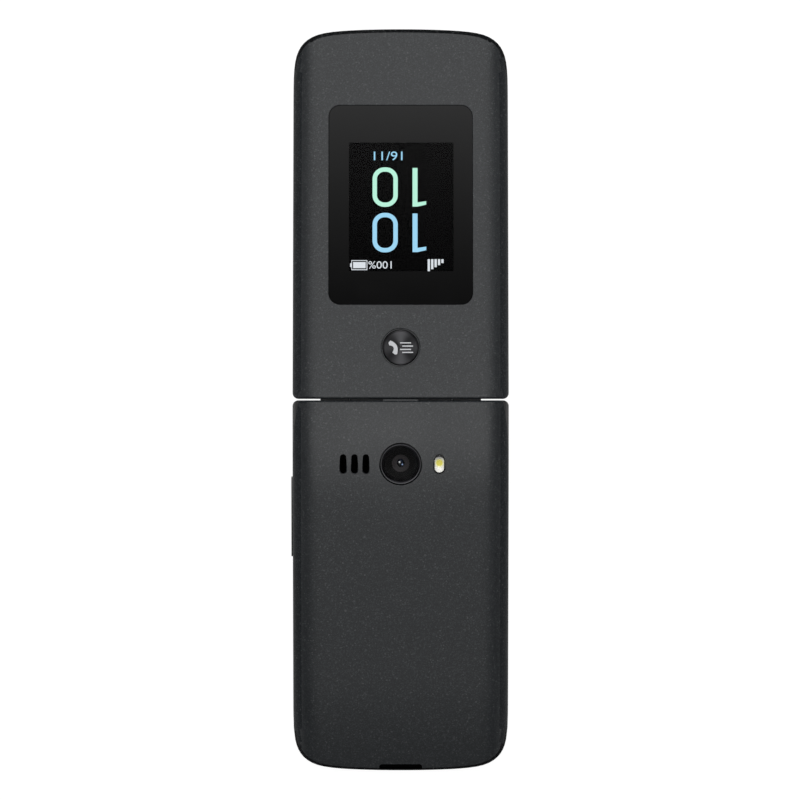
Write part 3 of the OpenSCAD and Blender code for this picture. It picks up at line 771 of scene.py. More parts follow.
@dataclass(frozen=True)
class Polished(Finish):
    """A polished face with faint handling marks."""

    def nodes(self, n: Nodes, shader: bpy.types.Node) -> None:
        """Writes the marks."""
        marks = Groups.SMUDGE.use(n).outputs[0]
        dulled = (*(c * 1.15 + 0.0004 for c in self.color), 1.0)
        n.link(n.mix(marks, rgba(self.color), dulled), shader.inputs["Base Color"])
        n.link(n.span(marks, 0.0, 1.0, self.roughness, self.roughness + 0.05), shader.inputs["Roughness"])


@dataclass(frozen=True)
class Clear(Finish):
    """Clear or smoked plastic or glass in a thin sheet.

    Args:
        cover: how much of what lies behind it hides.
    """

    cover: float = 0.3

    def nodes(self, n: Nodes, shader: bpy.types.Node) -> None:
        """Writes the clearness and faint marks."""
        shader.inputs["Alpha"].default_value = self.cover
        marks = Groups.SMUDGE.use(n).outputs[0]
        n.link(n.span(marks, 0.0, 1.0, self.roughness, self.roughness + 0.03), shader.inputs["Roughness"])


@dataclass(frozen=True)
class Lit(Finish):
    """A lit print or segment, and the painted glow of the flash's unlit lamp.

    Args:
        glow: its light, linear.
        strength: how bright it is.
    """

    glow: Colour = (1.0, 1.0, 1.0)
    strength: float = 1.0

    def nodes(self, n: Nodes, shader: bpy.types.Node) -> None:
        """Writes the glow with a faint grain."""
        grid = Groups.GRAIN.use(n, Grain_per_m=4000.0).outputs["Height"]
        n.link(n.mix(grid, rgba(self.glow, 0.86), rgba(self.glow)), shader.inputs["Emission Color"])
        shader.inputs["Emission Strength"].default_value = self.strength


@dataclass(frozen=True)
class Spun(Finish):
    """Metal turned on a lathe, with its highlights painted into its colour as bright and dark sectors.

    Args:
        x: x of the axis in metres.
        y: y of the axis in metres.
        highlight_band: how much the painted highlights swing the tone round the axis.
    """

    x: float = 0.0
    y: float = 0.0
    highlight_band: float = 0.35

    def nodes(self, n: Nodes, shader: bpy.types.Node) -> None:
        """Writes the rings and the tone that swings round the axis as painted highlights."""
        spun = Groups.SPUN.use(n, X=self.x, Y=self.y)
        turn, rings = spun.outputs["Turn"], spun.outputs["Height"]
        wide, narrow = (n.math("MULTIPLY", n.math("COSINE", n.math("MULTIPLY", turn, times)), share)
                        for times, share in ((2.0, -0.2), (4.0, 0.3)))
        # Painted highlights: the tone rises and falls with the turn round the axis, in two and four sectors.
        painted_highlight_fan = n.math("ADD", n.math("ADD", wide, narrow), 0.5)
        tone = n.mix(painted_highlight_fan, rgba(self.color, 1 - self.highlight_band), rgba(self.color, 1 + self.highlight_band))
        rough = n.span(rings, 0.3, 0.7, self.roughness * 0.85, self.roughness * 1.2)
        n.link(tone, shader.inputs["Base Color"])
        n.link(rough, shader.inputs["Roughness"])
        n.bump(shader, self.depth, rings)


@dataclass(frozen=True)
class Reflector(Finish):
    """The flash's white reflector, yellow round its lamp, with a painted shadow towards the hinge and a faint
    painted glow.

    Args:
        x: x of its middle in metres.
        y: y of its middle in metres.
    """

    x: float = 0.0
    y: float = 0.0

    def nodes(self, n: Nodes, shader: bpy.types.Node) -> None:
        """Writes the lamp's colour, the painted shadow and the painted glow."""
        spun = Groups.SPUN.use(n, X=self.x, Y=self.y)
        near = n.span(spun.outputs["Radius"], 0.0003, 0.0014, 1.0, 0.0)
        tone = n.mix(near, rgba(self.color), (0.94, 0.92, 0.2, 1.0))
        # Painted shadow: the colour darkens towards the hinge by place, not by any lamp.
        lit = n.span(spun.outputs["Along"], 0.0006, 0.0022, 1.0, 0.04)
        shaded = n.mix(lit, (0.02, 0.02, 0.018, 1.0), tone)
        n.link(shaded, shader.inputs["Base Color"])
        # Painted glow: the reflector emits its own colour though it is no lamp.
        n.link(shaded, shader.inputs["Emission Color"])
        shader.inputs["Emission Strength"].default_value = 0.3


FINEST = 0.0000004
PAINT_PEEL = 0.000006
UNLIT = (0.01, 0.01, 0.01)
PAINT = FlakePaint("grey_flake_paint", (0.0108, 0.0131, 0.0152), 0.44, depth=PAINT_PEEL)
# Painted shade: a copy of the paint with little reflection, for the steep sides.
PAINT_SHADED_SIDE = FlakePaint("grey_flake_paint_shaded_side", (0.0128, 0.015, 0.0172), 0.5, depth=PAINT_PEEL,
                        specular=0.13)
# Painted shade: a darker, dull copy of the paint, for the free end's edge.
PAINT_SHADED_RIM = FlakePaint("grey_flake_paint_shaded_rim", (0.005, 0.0056, 0.0062), 0.6, depth=PAINT_PEEL,
                       specular=0.03)
FRAME_BLACK = Finish("black_moulded_plastic", (0.012, 0.012, 0.0125), 0.5, grain=5200.0, depth=0.000007)
KEY_PLASTIC = Finish("dark_key_plastic", (0.016, 0.016, 0.017), 0.34, depth=0.000003)
DARK_METAL = Finish("dark_plated_ring", (0.05, 0.05, 0.053), 0.28, metallic=1.0, depth=0.000001)
CAMERA_METAL = Finish("black_plated_ring", (0.018, 0.018, 0.02), 0.3, metallic=1.0, depth=FINEST)
LENS_FACE = Finish("camera_lens_face", (0.085, 0.076, 0.08), 0.5, depth=0.0000008)
BRIGHT_LAND = Finish("polished_ring_land", (0.1, 0.1, 0.105), 0.3, metallic=1.0, depth=FINEST)
STEEL = Finish("plain_steel", (0.45, 0.45, 0.46), 0.32, metallic=1.0, grain=9000.0, depth=0.000002)
ALLOY = Finish("cast_alloy", (0.42, 0.43, 0.44), 0.5, metallic=1.0, grain=3000.0, depth=0.000006)
BOARD_GREEN = Finish("green_board", (0.008, 0.06, 0.026), 0.4, mottle=0.25, coat=0.3)
CELL_WRAP = Finish("cell_wrap", (0.42, 0.42, 0.41), 0.42, mottle=0.06)
GOLD = Finish("gold_contacts", (0.72, 0.5, 0.19), 0.3, metallic=1.0)
FILM = Finish("amber_film", (0.3, 0.1, 0.012), 0.35, coat=0.4)
RUBBER = Finish("black_rubber", (0.012, 0.012, 0.012), 0.75, depth=0.00001)
DOME_FILM = Finish("white_dome_film", (0.5, 0.5, 0.46), 0.45)
# Black steel mesh, darkened to near-lightless with no reflection as painted shade behind the speaker slots.
SHADED_MESH_BLACK = Finish("black_steel_mesh_painted_shade", (0.0004, 0.0004, 0.0004), 0.9, specular=0.0)
# Black plastic darkened to near-lightless as painted shade, for insides, opening walls and recesses.
SHADE_LINING = Finish("black_inside_painted_shade", (0.0012, 0.0012, 0.0013), 0.7, specular=0.04)
GLOSS_PRINT = Polished("gloss_black_border", (0.0012, 0.0012, 0.0013), 0.03)
SMOKED = Clear("smoked_window", (0.0008, 0.0008, 0.0009), 0.03, cover=0.19)
PANEL = Polished("dark_panel", (0.0003, 0.0003, 0.0004), 0.5, specular=0.01)
LENS_GLASS = Clear("camera_cover_glass", (0.0012, 0.0012, 0.0015), 0.02, cover=0.3, specular=0.2)
FUNNEL_BLACK = Finish("satin_black_funnel", (0.0014, 0.0015, 0.0014), 0.4, depth=FINEST, specular=0.16)
COATING = Polished("coated_lens", (0.012, 0.022, 0.05), 0.12, metallic=1.0)
PALE_COATING = Polished("pale_coated_lens", (0.9, 1.0, 1.0), 0.02, metallic=1.0)
BLUE_COATING = Polished("blue_coated_lens", (0.4, 0.55, 0.85), 0.03, metallic=1.0)
FLASH_CLEAR = Clear("flash_lens_plastic", (0.3, 0.3, 0.3), 0.08, cover=0.1, specular=0.2)
LIT_BLUE = Lit("lit_pale_blue", UNLIT, 0.5, glow=(0.33, 0.68, 0.92), strength=1.55)
LIT_GREEN = Lit("lit_pale_green", UNLIT, 0.5, glow=(0.49, 0.92, 0.72), strength=1.55)
# Painted glow: the flash is off, yet its phosphor emits a little light.
PHOSPHOR_PAINTED_GLOW = Lit("yellow_phosphor_painted_glow", (0.84, 0.76, 0.09), 0.5, glow=(0.84, 0.76, 0.09), strength=0.3)
LIT_WHITE = Lit("lit_white", UNLIT, 0.5, glow=(0.8, 0.85, 0.9), strength=1.4)
LEGEND = Finish("pale_legend_print", (0.55, 0.56, 0.58), 0.5, mottle=0.05)
LEGEND_GREEN = Finish("green_legend_print", (0.05, 0.36, 0.1), 0.5, mottle=0.05)
LEGEND_RED = Finish("red_legend_print", (0.5, 0.03, 0.02), 0.5, mottle=0.05)
SHELL_FINISHES = (PAINT, PAINT_SHADED_SIDE, PAINT_SHADED_RIM, SHADE_LINING)


# ---- Prints and shells --------------------------------------------------------------------


def paint_sides(obj: bpy.types.Object, reach: float, inside: Callable[[Vector, Vector], bool]) -> None:
    """Shares a shell's faces among the finishes of SHELL_FINISHES, with painted shade on the steep sides and
    the free end's edge.

    Args:
        obj: the shell, flat in its half's own frame.
        reach: how far the painted shade on the free end's edge reaches in from the outline.
        inside: tells which faces lie inside; they get the near-black lining, bare black plastic darkened
            further as painted shade.
    """
    side, rim, bare = 1, 2, 3
    # Painted shade: steep faces get a copy of the paint with little reflection.
    paint_faces(obj, side, lambda c, n: n.z < 0.8)
    # Painted shade: the free end's edge gets a darker, dull copy of the paint, reaching further in nearer the
    # tip.
    for inset, start in ((0.1, 84.0), (0.3, 88.0), (0.5, 91.0), (0.8, 94.0), (reach, 97.0)):
        xs, us = zip(*(end_point(a, inset) for a in reversed(END_ANGLES)))
        paint_faces(obj, rim, lambda c, n: c.y > start and c.y > np.interp(abs(c.x), xs, us))
    # Painted shade: inside faces and opening walls get the near-black lining.
    paint_faces(obj, bare, inside)


def lettering(text: str, size: float, at: Pair, z: float, thick: float) -> bpy.types.Object:
    """Plain numbers as a thin raised print, turned so that their tops point to the hinge.

    Args:
        text: what it says.
        size: the font size in millimetres.
        at: x and u of its middle.
        z: height of its middle.
        thick: its thickness.

    Returns:
        The object.
    """
    deselect()
    bpy.ops.object.text_add()
    obj = bpy.context.object
    obj.data.body = text
    obj.data.size = size
    obj.data.resolution_u = 6
    bpy.ops.object.convert(target="MESH")
    obj = bpy.context.object
    co = np.array([v.co for v in obj.data.vertices])
    mid = (co.min(0) + co.max(0)) / 2
    for v in obj.data.vertices:
        v.co = (at[0] - (v.co.x - mid[0]), at[1] - (v.co.y - mid[1]), z)
    apply_modifier(obj, "SOLIDIFY", thickness=thick, offset=0.0)
    return tidy(named(obj, "print"))


# ---- Lid ----------------------------------------------------------------------------------


def glaze(border: bpy.types.Object, window: bpy.types.Object, nodes: Sequence[str]) -> None:
    """Joins a printed border with its clear window into one of the lid's lenses.

    Args:
        border: the border, with its name.
        window: the clear window that fills it.
        nodes: the CAD nodes that the lens stands for.
    """
    paint(border, GLOSS_PRINT, SMOKED)
    paint(window, GLOSS_PRINT, SMOKED)
    paint_faces(window, 1, lambda c, n: True)
    lens = smooth(join(border.name, border, window), 10.0)
    dress(lens, Half.LID, "window_gloss", "lid", nodes)


@dataclass
class LidBack:
    """The lid's painted back.

    Args:
        split: height of its lower rim.
        window: width and length of the outer window.
        gap: width of the gap round the outer window.
        window_u: distance of the window's middle from the hinge axis.
        key_u: distance of the round key from the hinge axis.
        key_r: radius of the round key.
    """

    split: float = 2.4
    window: Pair = WINDOW
    gap: float = 0.065
    window_u: float = WINDOW_U
    key_u: float = QUICK_KEY_U
    key_r: float = QUICK_KEY_R

    def build(self) -> None:
        """Builds the hollow shell with its window seat, its key hole and the room for the hinge."""
        obj = HalfForm(Half.LID, self.split).build("lid_back")
        boolean(obj, HalfForm(Half.LID, self.split - 1.0, wall=WALL, start=7.0).build("cavity"))
        boolean(obj, barrel_room())
        for side in (-1, 1):
            low, high = sorted((side * 13.8, side * 21.7))
            boolean(obj, box_at("knuckle_room", (low, -1.0, 0.0), (high, 6.3, 4.4)))
        w, l = (across + 2 * self.gap for across in self.window)
        middle = (0.0, self.window_u)
        cut_opening(obj, lambda grow: rounded(w + 2 * grow, l + 2 * grow, 3.17 + grow, middle),
                    [(0.0, 6.7), (0.0, LID_TOP - 0.06), (0.06, LID_TOP), (0.06, ABOVE)])
        ledge = rounded(self.window[0] - 3.6, self.window[1] - 4.0, 1.5, middle)
        boolean(obj, prism("window_opening", ledge, 0.0, 7.0))
        cut_opening(obj, lambda grow: circle(self.key_r + 0.2 + grow, (0.0, self.key_u)),
                    [(0.0, 0.0), (0.0, 7.5), (0.22, 7.56), (0.26, 7.66), (0.38, LID_TOP), (0.38, ABOVE)])
        smooth(obj, 30.0)
        paint_sides(obj, 1.1, self.inside)
        dress(obj, Half.LID, "shell_paint", "lid", ["lid_outer_shell"], *SHELL_FINISHES)

    def inside(self, centre: Vector, normal: Vector) -> bool:
        """Tells whether a face is the key hole's wall or on the inner side; both get the near-black lining,
        bare plastic darkened as painted shade.
        """
        near = math.hypot(centre.x, centre.y - self.key_u) < self.key_r + 0.45
        hole = near and abs(normal.z) < 0.9
        return hole or (normal.z < -0.2 and centre.z > self.split + 0.2)


@dataclass
class OuterWindow:
    """The outer window: its smoked lens with a printed border, and the panel with what it shows.

    Args:
        size: width and length of the lens.
        middle_u: distance of its middle from the hinge axis.
        top: height of the lens.
        clear: x and u ranges of the clear area.
        panel_z: height of the panel's face.
    """

    size: Pair = WINDOW
    middle_u: float = WINDOW_U
    top: float = 7.75
    clear: tuple[float, float, float, float] = (-13.96, 14.26, 33.74, 69.19)
    panel_z: float = 6.6

    def lens(self) -> None:
        """Builds the lens, bevelled all round, with its clear area set out from the border."""
        w, l = self.size
        at = (0.0, self.middle_u)
        x0, x1, u0, u1 = self.clear
        clear_plan = rounded(x1 - x0, u1 - u0, 0.3, ((x0 + x1) / 2, (u0 + u1) / 2))
        top = self.top
        edge = ((0.1, top - 1.0), (0.0, top - 0.9), (0.0, top - 0.06), (0.12, top))
        border = stacked("outer_window", [(rounded(w - cut, l - cut, 3.1 - cut / 2, at), z)
                                          for cut, z in edge])
        boolean(border, prism("clear_hole", clear_plan, top - 1.5, top + 1.0))
        glaze(border, prism("clear_window", clear_plan, top - 1.0, top), ["sub_display_lens"])

    def panel(self) -> None:
        """Builds the panel in its frame."""
        obj = prism("outer_display", rounded(34.6, 46.6, 0.4, (0.0, self.middle_u - 0.6)), 5.0, self.panel_z)
        smooth(soften(obj, 0.15))
        obj = join("outer_display", obj, box_at("display_tail", (-8.0, 74.8, 5.0), (8.0, 76.7, 5.2)))
        dress(obj, Half.LID, "display_module", "lid", ["sub_display_panel"], PANEL)

    def lit(self, plan: Plan) -> bpy.types.Object:
        """A lit outline on the panel."""
        return prism("lit", plan, self.panel_z + 0.01, self.panel_z + 0.04)

    def lit_block(self, x: Pair, u: Pair) -> bpy.types.Object:
        """A lit block on the panel."""
        return self.lit([(x[0], u[0]), (x[1], u[0]), (x[1], u[1]), (x[0], u[1])])

    def zero(self, x: Pair, u: Pair, stroke: float = 1.2, r: float = 3.2) -> bpy.types.Object:
        """A tall round-cornered zero."""
        at = ((x[0] + x[1]) / 2, (u[0] + u[1]) / 2)
        w, l = x[1] - x[0], u[1] - u[0]
        inner = rounded(w - 2 * stroke, l - 2 * stroke, r - stroke, at)
        hole = prism("inside", inner, self.panel_z - 0.2, self.panel_z + 0.3)
        return boolean(self.lit(rounded(w, l, r, at)), hole)

    def one(self, x: Pair, u: Pair) -> bpy.types.Object:
        """A tall one: a bar with a slanting flag at its top, which points to the hinge."""
        flag = x[1] + 2.35
        return self.lit([(x[0], u[0]), (x[1], u[0]), (flag, u[0] + 0.55), (flag, u[0] + 1.5),
                         (x[1], u[0] + 1.15), (x[1], u[1]), (x[0], u[1])])

    def number(self, text: str, size: float, x: Pair, u: Pair) -> bpy.types.Object:
        """A line of small plain numbers, stretched to its place."""
        obj = lettering(text, size, (0.0, 0.0), self.panel_z + 0.02, 0.03)
        self.fit(obj, x, u)
        return obj

    def numerals(self) -> None:
        """Builds the hour, the minutes and the date, with the charge and signal marks."""
        zero_x, one_x = (-7.6, -0.78), (3.2, 4.55)
        hour = join("hour_numerals", self.zero(zero_x, (51.7, 62.6)), self.one(one_x, (51.77, 62.42)))
        minute = join("minute_numerals", self.zero(zero_x, (39.17, 50.04)), self.one(one_x, (39.24, 49.86)))
        date = named(self.number("16/11", 3.3, (-7.27, 0.5), (64.55, 66.98)), "date_numerals")
        marks = [self.number("100%", 2.8, (-8.71, -2.43), (34.7, 36.73))]
        for x, u in [((-12.82, -9.45), (34.82, 36.5)), ((-13.3, -9.0), (34.29, 34.5)),
                     ((-13.3, -9.0), (36.82, 37.01)), ((-9.2, -8.98), (34.49, 36.83)),
                     ((-13.3, -13.12), (34.49, 36.83)), ((-13.62, -13.3), (35.15, 36.15))]:
            marks.append(self.lit_block(x, u))
        for i in range(5):
            tall = 3.29 * (1 - i * 0.17)
            x = 7.28 + i * 0.92
            marks.append(self.lit_block((x, x + 0.62), (37.28 - tall, 37.28)))
        status = join("status_marks", *marks)
        for obj, finish in ((hour, LIT_GREEN), (minute, LIT_BLUE), (date, LIT_BLUE), (status, LIT_WHITE)):
            dress(obj, Half.LID, "display_module", "lid", [], finish)

    @staticmethod
    def fit(obj: bpy.types.Object, *spans: Pair) -> None:
        """Stretches a print to its spans along x and u."""
        co = np.array([v.co for v in obj.data.vertices])
        low, high = co.min(0), co.max(0)
        for v in obj.data.vertices:
            for k, (start, end) in enumerate(spans):
                v.co[k] = start + (v.co[k] - low[k]) / (high[k] - low[k]) * (end - start)

    def build(self) -> None:
        """Builds the lens, the panel and the numerals."""
        self.lens()
        self.panel()
        self.numerals()


@dataclass
class QuickKey:
    """The round key in the lid: a spun metal cap with a plain printed mark.

    Args:
        u: distance from the hinge axis.
        r: its radius.
        top: height of its rim.
    """

    u: float = QUICK_KEY_U
    r: float = QUICK_KEY_R
    top: float = 7.7

    @staticmethod
    def handset() -> Plan:
        """The outline of a bowed handset, thicker at both its ends."""
        ends, bow = ((-2.95, 14.16), (-1.6, 11.3)), (-0.68, 13.6)
        left: Plan = []
        right: Plan = []
        for i in range(25):
            t = i / 24
            x, u = ((1 - t) ** 2 * ends[0][k] + 2 * t * (1 - t) * bow[k] + t * t * ends[1][k] for k in (0, 1))
            dx, du = (2 * (1 - t) * (bow[k] - ends[0][k]) + 2 * t * (ends[1][k] - bow[k]) for k in (0, 1))
            wide = (0.5 + 0.17 * abs(2 * t - 1) ** 2) / math.hypot(dx, du)
            left.append((x - du * wide, u + dx * wide))
            right.append((x + du * wide, u - dx * wide))
        (head_x, head_u), (tail_x, tail_u) = (((left[i][0] + right[i][0]) / 2, (left[i][1] + right[i][1]) / 2)
                                              for i in (0, -1))
        return [*left, (tail_x + 0.05, tail_u - 0.32), *right[::-1], (head_x - 0.32, head_u + 0.05)]

    def build(self) -> None:
        """Builds the cap with its mark."""
        t, r = self.top, self.r
        cap_piece = turned("quick_key_cap", [
            (0.0, 5.55), (1.2, 5.55), (1.2, 5.86), (r + 0.5, 5.86), (r + 0.5, 6.18), (r, 6.18), (r, t - 0.2),
            (r - 0.05, t - 0.07), (r - 0.16, t), (r - 0.3, t - 0.01), (r - 0.42, t - 0.1),
            (3.2, t - 0.17), (1.6, t - 0.24), (0.0, t - 0.26)], (0.0, self.u), 96)
        smooth(cap_piece, 32.0)
        axis = Half.LID.matrix @ Vector((0.0, self.u, t))
        # The cap's bright and dark sectors are painted highlights in its colour.
        spun = Spun("spun_key_metal_painted_highlights", (0.034, 0.034, 0.036), 0.34, metallic=1.0, depth=0.000003,
                    x=axis.x, y=axis.y, highlight_band=0.8)
        dress(cap_piece, Half.LID, "key_metal", "quick_key", ["quick_key"], spun)
        z = t - 0.2
        near, far = (-0.15, 2.78), (0.39, 3.33)
        parts = [box_at("bar", (x[0], u - 0.16, z), (x[1], u + 0.16, z + 0.06))
                 for x, u in ((near, 14.17), (far, 13.3), (near, 12.38), (far, 11.57))]
        mark = join("quick_key_mark", *parts, prism("handset", self.handset(), z, z + 0.06))
        dress(mark, Half.LID, "key_metal", "quick_key", [], LEGEND)


# ---- Body ---------------------------------------------------------------------------------


@dataclass
class BatteryCover:
    """The painted cover that is the body's whole back.

    Args:
        split: height of its lower rim.
        camera_u: distance of the camera, flash and slots from the hinge axis.
    """

    split: float = 5.75
    camera_u: float = CAMERA_U

    def build(self) -> None:
        """Builds the hollow cover with all its openings, and the tongue in the middle of the slit."""
        obj = HalfForm(Half.BODY, self.split).build("cover_back")
        boolean(obj, HalfForm(Half.BODY, self.split - 1.0, wall=WALL).build("cavity"))
        boolean(obj, barrel_room())
        u, z, above = self.camera_u, 10.3, 20.0
        cut_opening(obj, lambda grow: circle(5.66 + grow, (0.0, u)),
                    [(0.0, 0.0), (0.0, z - 0.02), (0.14, z + 0.12), (0.14, above)])
        cut_opening(obj, lambda grow: capsule(3.1 + 2 * grow, 5.3 + 2 * grow, (FLASH_X, u)),
                    [(0.0, 0.0), (0.0, z), (0.12, z + 0.12), (0.12, above)])
        for i in (-1, 0, 1):
            cut_opening(obj, lambda grow: capsule(1.7 + 2 * grow, 5.2 + 2 * grow, (-12.4 + 3.06 * i, u)),
                        [(0.0, 0.0), (0.0, z - 0.08), (0.16, z + 0.1), (0.16, above)])
        notch = [(-5.3, 98.85), (5.3, 98.85), (5.8, 99.35), (5.8, 100.3), (-5.8, 100.3), (-5.8, 99.35)]
        boolean(obj, prism("notch", notch, 0.0, above))
        tongue = box_at("tongue", (-4.7, -0.05, 5.9), (4.7, 0.95, 7.45))
        tongue.data.transform(Matrix.Rotation(TILT, 4, "X"))
        boolean(obj, tongue, "UNION")
        smooth(obj, 30.0)
        paint_sides(obj, EDGE_R, self.inside)
        dress(obj, Half.BODY, "shell_paint", "battery_cover", ["battery_cover"], *SHELL_FINISHES)

    def inside(self, centre: Vector, normal: Vector) -> bool:
        """Tells whether a face lies in an opening or on the cover's inner side; both get the near-black
        lining, bare plastic darkened as painted shade.
        """
        upright = abs(normal.z) < 0.4
        notch = 98.5 < centre.y < 100.35 and abs(centre.x) < 5.85
        near = abs(centre.y - self.camera_u) < 6.0 and abs(centre.x) < 18.0 and centre.z < 10.25
        return (upright and (notch or near)) or (normal.z < -0.2 and centre.z > self.split + 0.2)


@dataclass
class Camera:
    """The camera: its ring, the cover glass, the black funnel behind it and the lens.

    Args:
        u: distance from the hinge axis.
        r: outer radius of the ring.
    """

    u: float = CAMERA_U
    r: float = 5.5

    def piece(self, name: str, profile: Sequence[Pair], steps: int = 96) -> bpy.types.Object:
        """A smooth piece turned round the camera's axis."""
        return smooth(turned(name, profile, (0.0, self.u), steps), 30.0)

    def build(self) -> None:
        """Builds the ring, the glass, the funnel and the lens."""
        r = self.r
        ring = self.piece("camera_bezel", [
            (4.0, 8.65), (r, 8.65), (r, 10.66), (r - 0.04, 10.77), (r - 0.14, 10.84), (r - 0.3, 10.85),
            (r - 0.42, 10.8), (4.75, 10.45), (4.75, 9.9), (4.0, 9.9), (4.0, 8.65)], 128)
        paint_faces(ring, 1, lambda c, n: c.z > 10.8 and 5.16 < math.hypot(c.x, c.y - self.u) < 5.36)
        dress(ring, Half.BODY, "frame_plastic", "phone_body", ["camera_ring"], CAMERA_METAL, BRIGHT_LAND)
        glass = self.piece("camera_glass", [
            (0.0, 9.95), (4.64, 9.95), (4.7, 10.0), (4.7, 10.42), (4.62, 10.5), (0.0, 10.5)])
        dress(glass, Half.BODY, "camera_glass", "phone_body", ["camera_window"], LENS_GLASS)
        mask = self.piece("camera_mask", [
            (2.35, 9.25), (4.66, 9.75), (4.66, 9.93), (4.5, 9.93), (2.35, 9.4), (2.35, 9.25)])
        dress(mask, Half.BODY, "frame_plastic", "phone_body", [], FUNNEL_BLACK)
        barrel = self.piece("camera_barrel", [
            (0.0, 8.2), (3.3, 8.2), (3.3, 9.1), (3.2, 9.2), (2.3, 9.25), (2.2, 9.2), (1.9, 9.0), (1.6, 9.0),
            (1.3, 8.8), (1.0, 8.75), (0.0, 8.75)])
        can = soften(box_at("camera_can", (-4.3, self.u - 4.3, 4.0), (4.3, self.u + 4.3, 8.2)), 0.2)
        unit = smooth(join("camera_unit", barrel, can), 30.0)
        dress(unit, Half.BODY, "frame_plastic", "phone_body", ["camera_module"], LENS_FACE)
        for name, radius, z, rise, x, u, coating in (
                ("camera_lens", 1.05, 8.72, 0.5, 0.0, 0.0, COATING),
                ("front_element", 0.52, 9.1, 0.3, -0.27, -0.12, PALE_COATING),
                ("rear_element", 0.45, 9.05, 0.28, 0.46, 0.5, BLUE_COATING)):
            arc = [(radius * math.cos(a), z + 0.05 + rise * math.sin(a))
                   for a in np.linspace(0.05, math.pi / 2, 9)]
            dome = smooth(turned(name, [(0.0, z), (radius, z), *arc], (x, self.u + u), 48), 40.0)
            dress(dome, Half.BODY, "camera_glass", "phone_body", [], coating)


@dataclass
class Flash:
    """The flash: a clear lens, a reflector with radial facets, a near-black ring that paints the shadow of
    its rim, and its lamp.

    Args:
        x: x of its middle.
        u: distance from the hinge axis.
    """

    x: float = FLASH_X
    u: float = CAMERA_U

    def build(self) -> None:
        """Builds the lens, the reflector, the ring of painted shadow and the lamp."""
        at = (self.x, self.u)
        lens = stacked("flash_lens", [(capsule(3.0 - cut, 5.2 - cut, at), z) for cut, z in
                                      ((0.1, 8.8), (0.0, 8.9), (0.0, 10.15), (0.1, 10.25), (0.3, 10.3))])
        smooth(lens, 30.0)
        cup = turned("flash_reflector", [
            (0.0, 8.2), (0.75, 8.22), (1.6, 8.62), (2.3, 9.2), (2.8, 9.75), (2.8, 9.85), (2.3, 9.5),
            (1.6, 8.95), (0.75, 8.5), (0.0, 8.42)], at, 72,
            lambda r, a: 0.09 * min(r, 1.6) * math.cos(14 * a))
        boolean(cup, prism("cup_room", capsule(2.94, 5.14, at), 8.0, 9.9), "INTERSECT")
        smooth(cup, 20.0)
        middle = Half.BODY.matrix @ Vector((*at, 9.0))
        white = Reflector("reflector_painted_shadow_and_glow", (0.84, 0.83, 0.79), 0.3, x=middle.x, y=middle.y)
        # Painted shadow: a near-black ring under the lens rim, wider on the hinge side, where the rim's
        # shadow falls.
        shade = prism("flash_painted_shadow", capsule(2.96, 5.16, at), 9.9, 9.98)
        boolean(shade, prism("shade_opening", capsule(2.5, 4.3, (self.x, self.u + 0.25)), 9.0, 11.0))
        block = box_at("flash_lamp", (self.x - 1.0, self.u - 1.0, 4.4), (self.x + 1.0, self.u + 1.0, 8.2))
        top = turned("lamp_cap", [(0.0, 8.19), (0.85, 8.19), (0.83, 8.66), (0.6, 8.76), (0.0, 8.79)], at, 32)
        lamp = join("flash_lamp", block, top)
        for obj, nodes, finish in ((lens, ["flash_lens"], FLASH_CLEAR), (cup, [], white), (shade, [], SHADE_LINING),
                                   (lamp, ["flash_led"], PHOSPHOR_PAINTED_GLOW)):
            dress(obj, Half.BODY, "flash_clear", "phone_body", nodes, finish)


# ---- Keypad and inner side ----------------------------------------------------------------


def refined(node: str, name: str, width: float) -> bpy.types.Object:
    """A merged copy of a CAD node with its edges softened.

    Args:
        node: the CAD node.
        name: the new piece's name.
        width: width of the softened edges in millimetres.

    Returns:
        The object, in the shared frame.
    """
    obj = named(bpy.data.objects.new(name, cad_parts[node].data.copy()), name)
    obj.data.materials.clear()
    bpy.context.scene.collection.objects.link(obj)
    with editing(obj):
        bpy.ops.mesh.customdata_custom_splitnormals_clear()
        bpy.ops.mesh.remove_doubles(threshold=0.5e-6)
        bpy.ops.mesh.dissolve_limited(angle_limit=math.radians(0.4))
        bpy.ops.mesh.normals_make_consistent(inside=False)
    return smooth(soften(obj, width * MM, segments=3), 30.0)


def printed(obj: bpy.types.Object, surface: Callable[[float, float], float]) -> bpy.types.Object:
    """Lays a flat print on a curved face.

    Args:
        obj: the print, with z counted from the face.
        surface: the face's height at x and u.

    Returns:
        The same object.
    """
    for v in obj.data.vertices:
        v.co.z += surface(v.co.x, v.co.y)
    return obj


def handset(at: Pair, size: float, turn: float) -> bpy.types.Object:
    """A plain handset sign: a bowed grip with an ear piece and a mouth piece.

    Args:
        at: x and u of its middle.
        size: its reach in millimetres.
        turn: its turn in degrees.

    Returns:
        The object.
    """
    r = size * 0.62
    shift = math.radians(turn)
    centre = (at[0] - 0.25 * size * math.cos(shift), at[1] - 0.25 * size * math.sin(shift))

    def bow(angle: float, reach: float) -> Pair:
        """A point of the bow at an angle from its middle."""
        a = math.radians(angle + turn)
        return centre[0] + reach * math.cos(a), centre[1] + reach * math.sin(a)

    sweep = np.linspace(-62, 62, 13)
    obj = prism("sign", [bow(a, r) for a in sweep] + [bow(a, r * 0.66) for a in sweep[::-1]], -PRINT, PRINT)
    for side in (-1, 1):
        plan = rounded(size * 0.3, size * 0.3, size * 0.09, bow(side * 56, r * 0.74))
        boolean(obj, prism("pad", plan, -PRINT - 0.001, PRINT + 0.001), "UNION")
    return obj


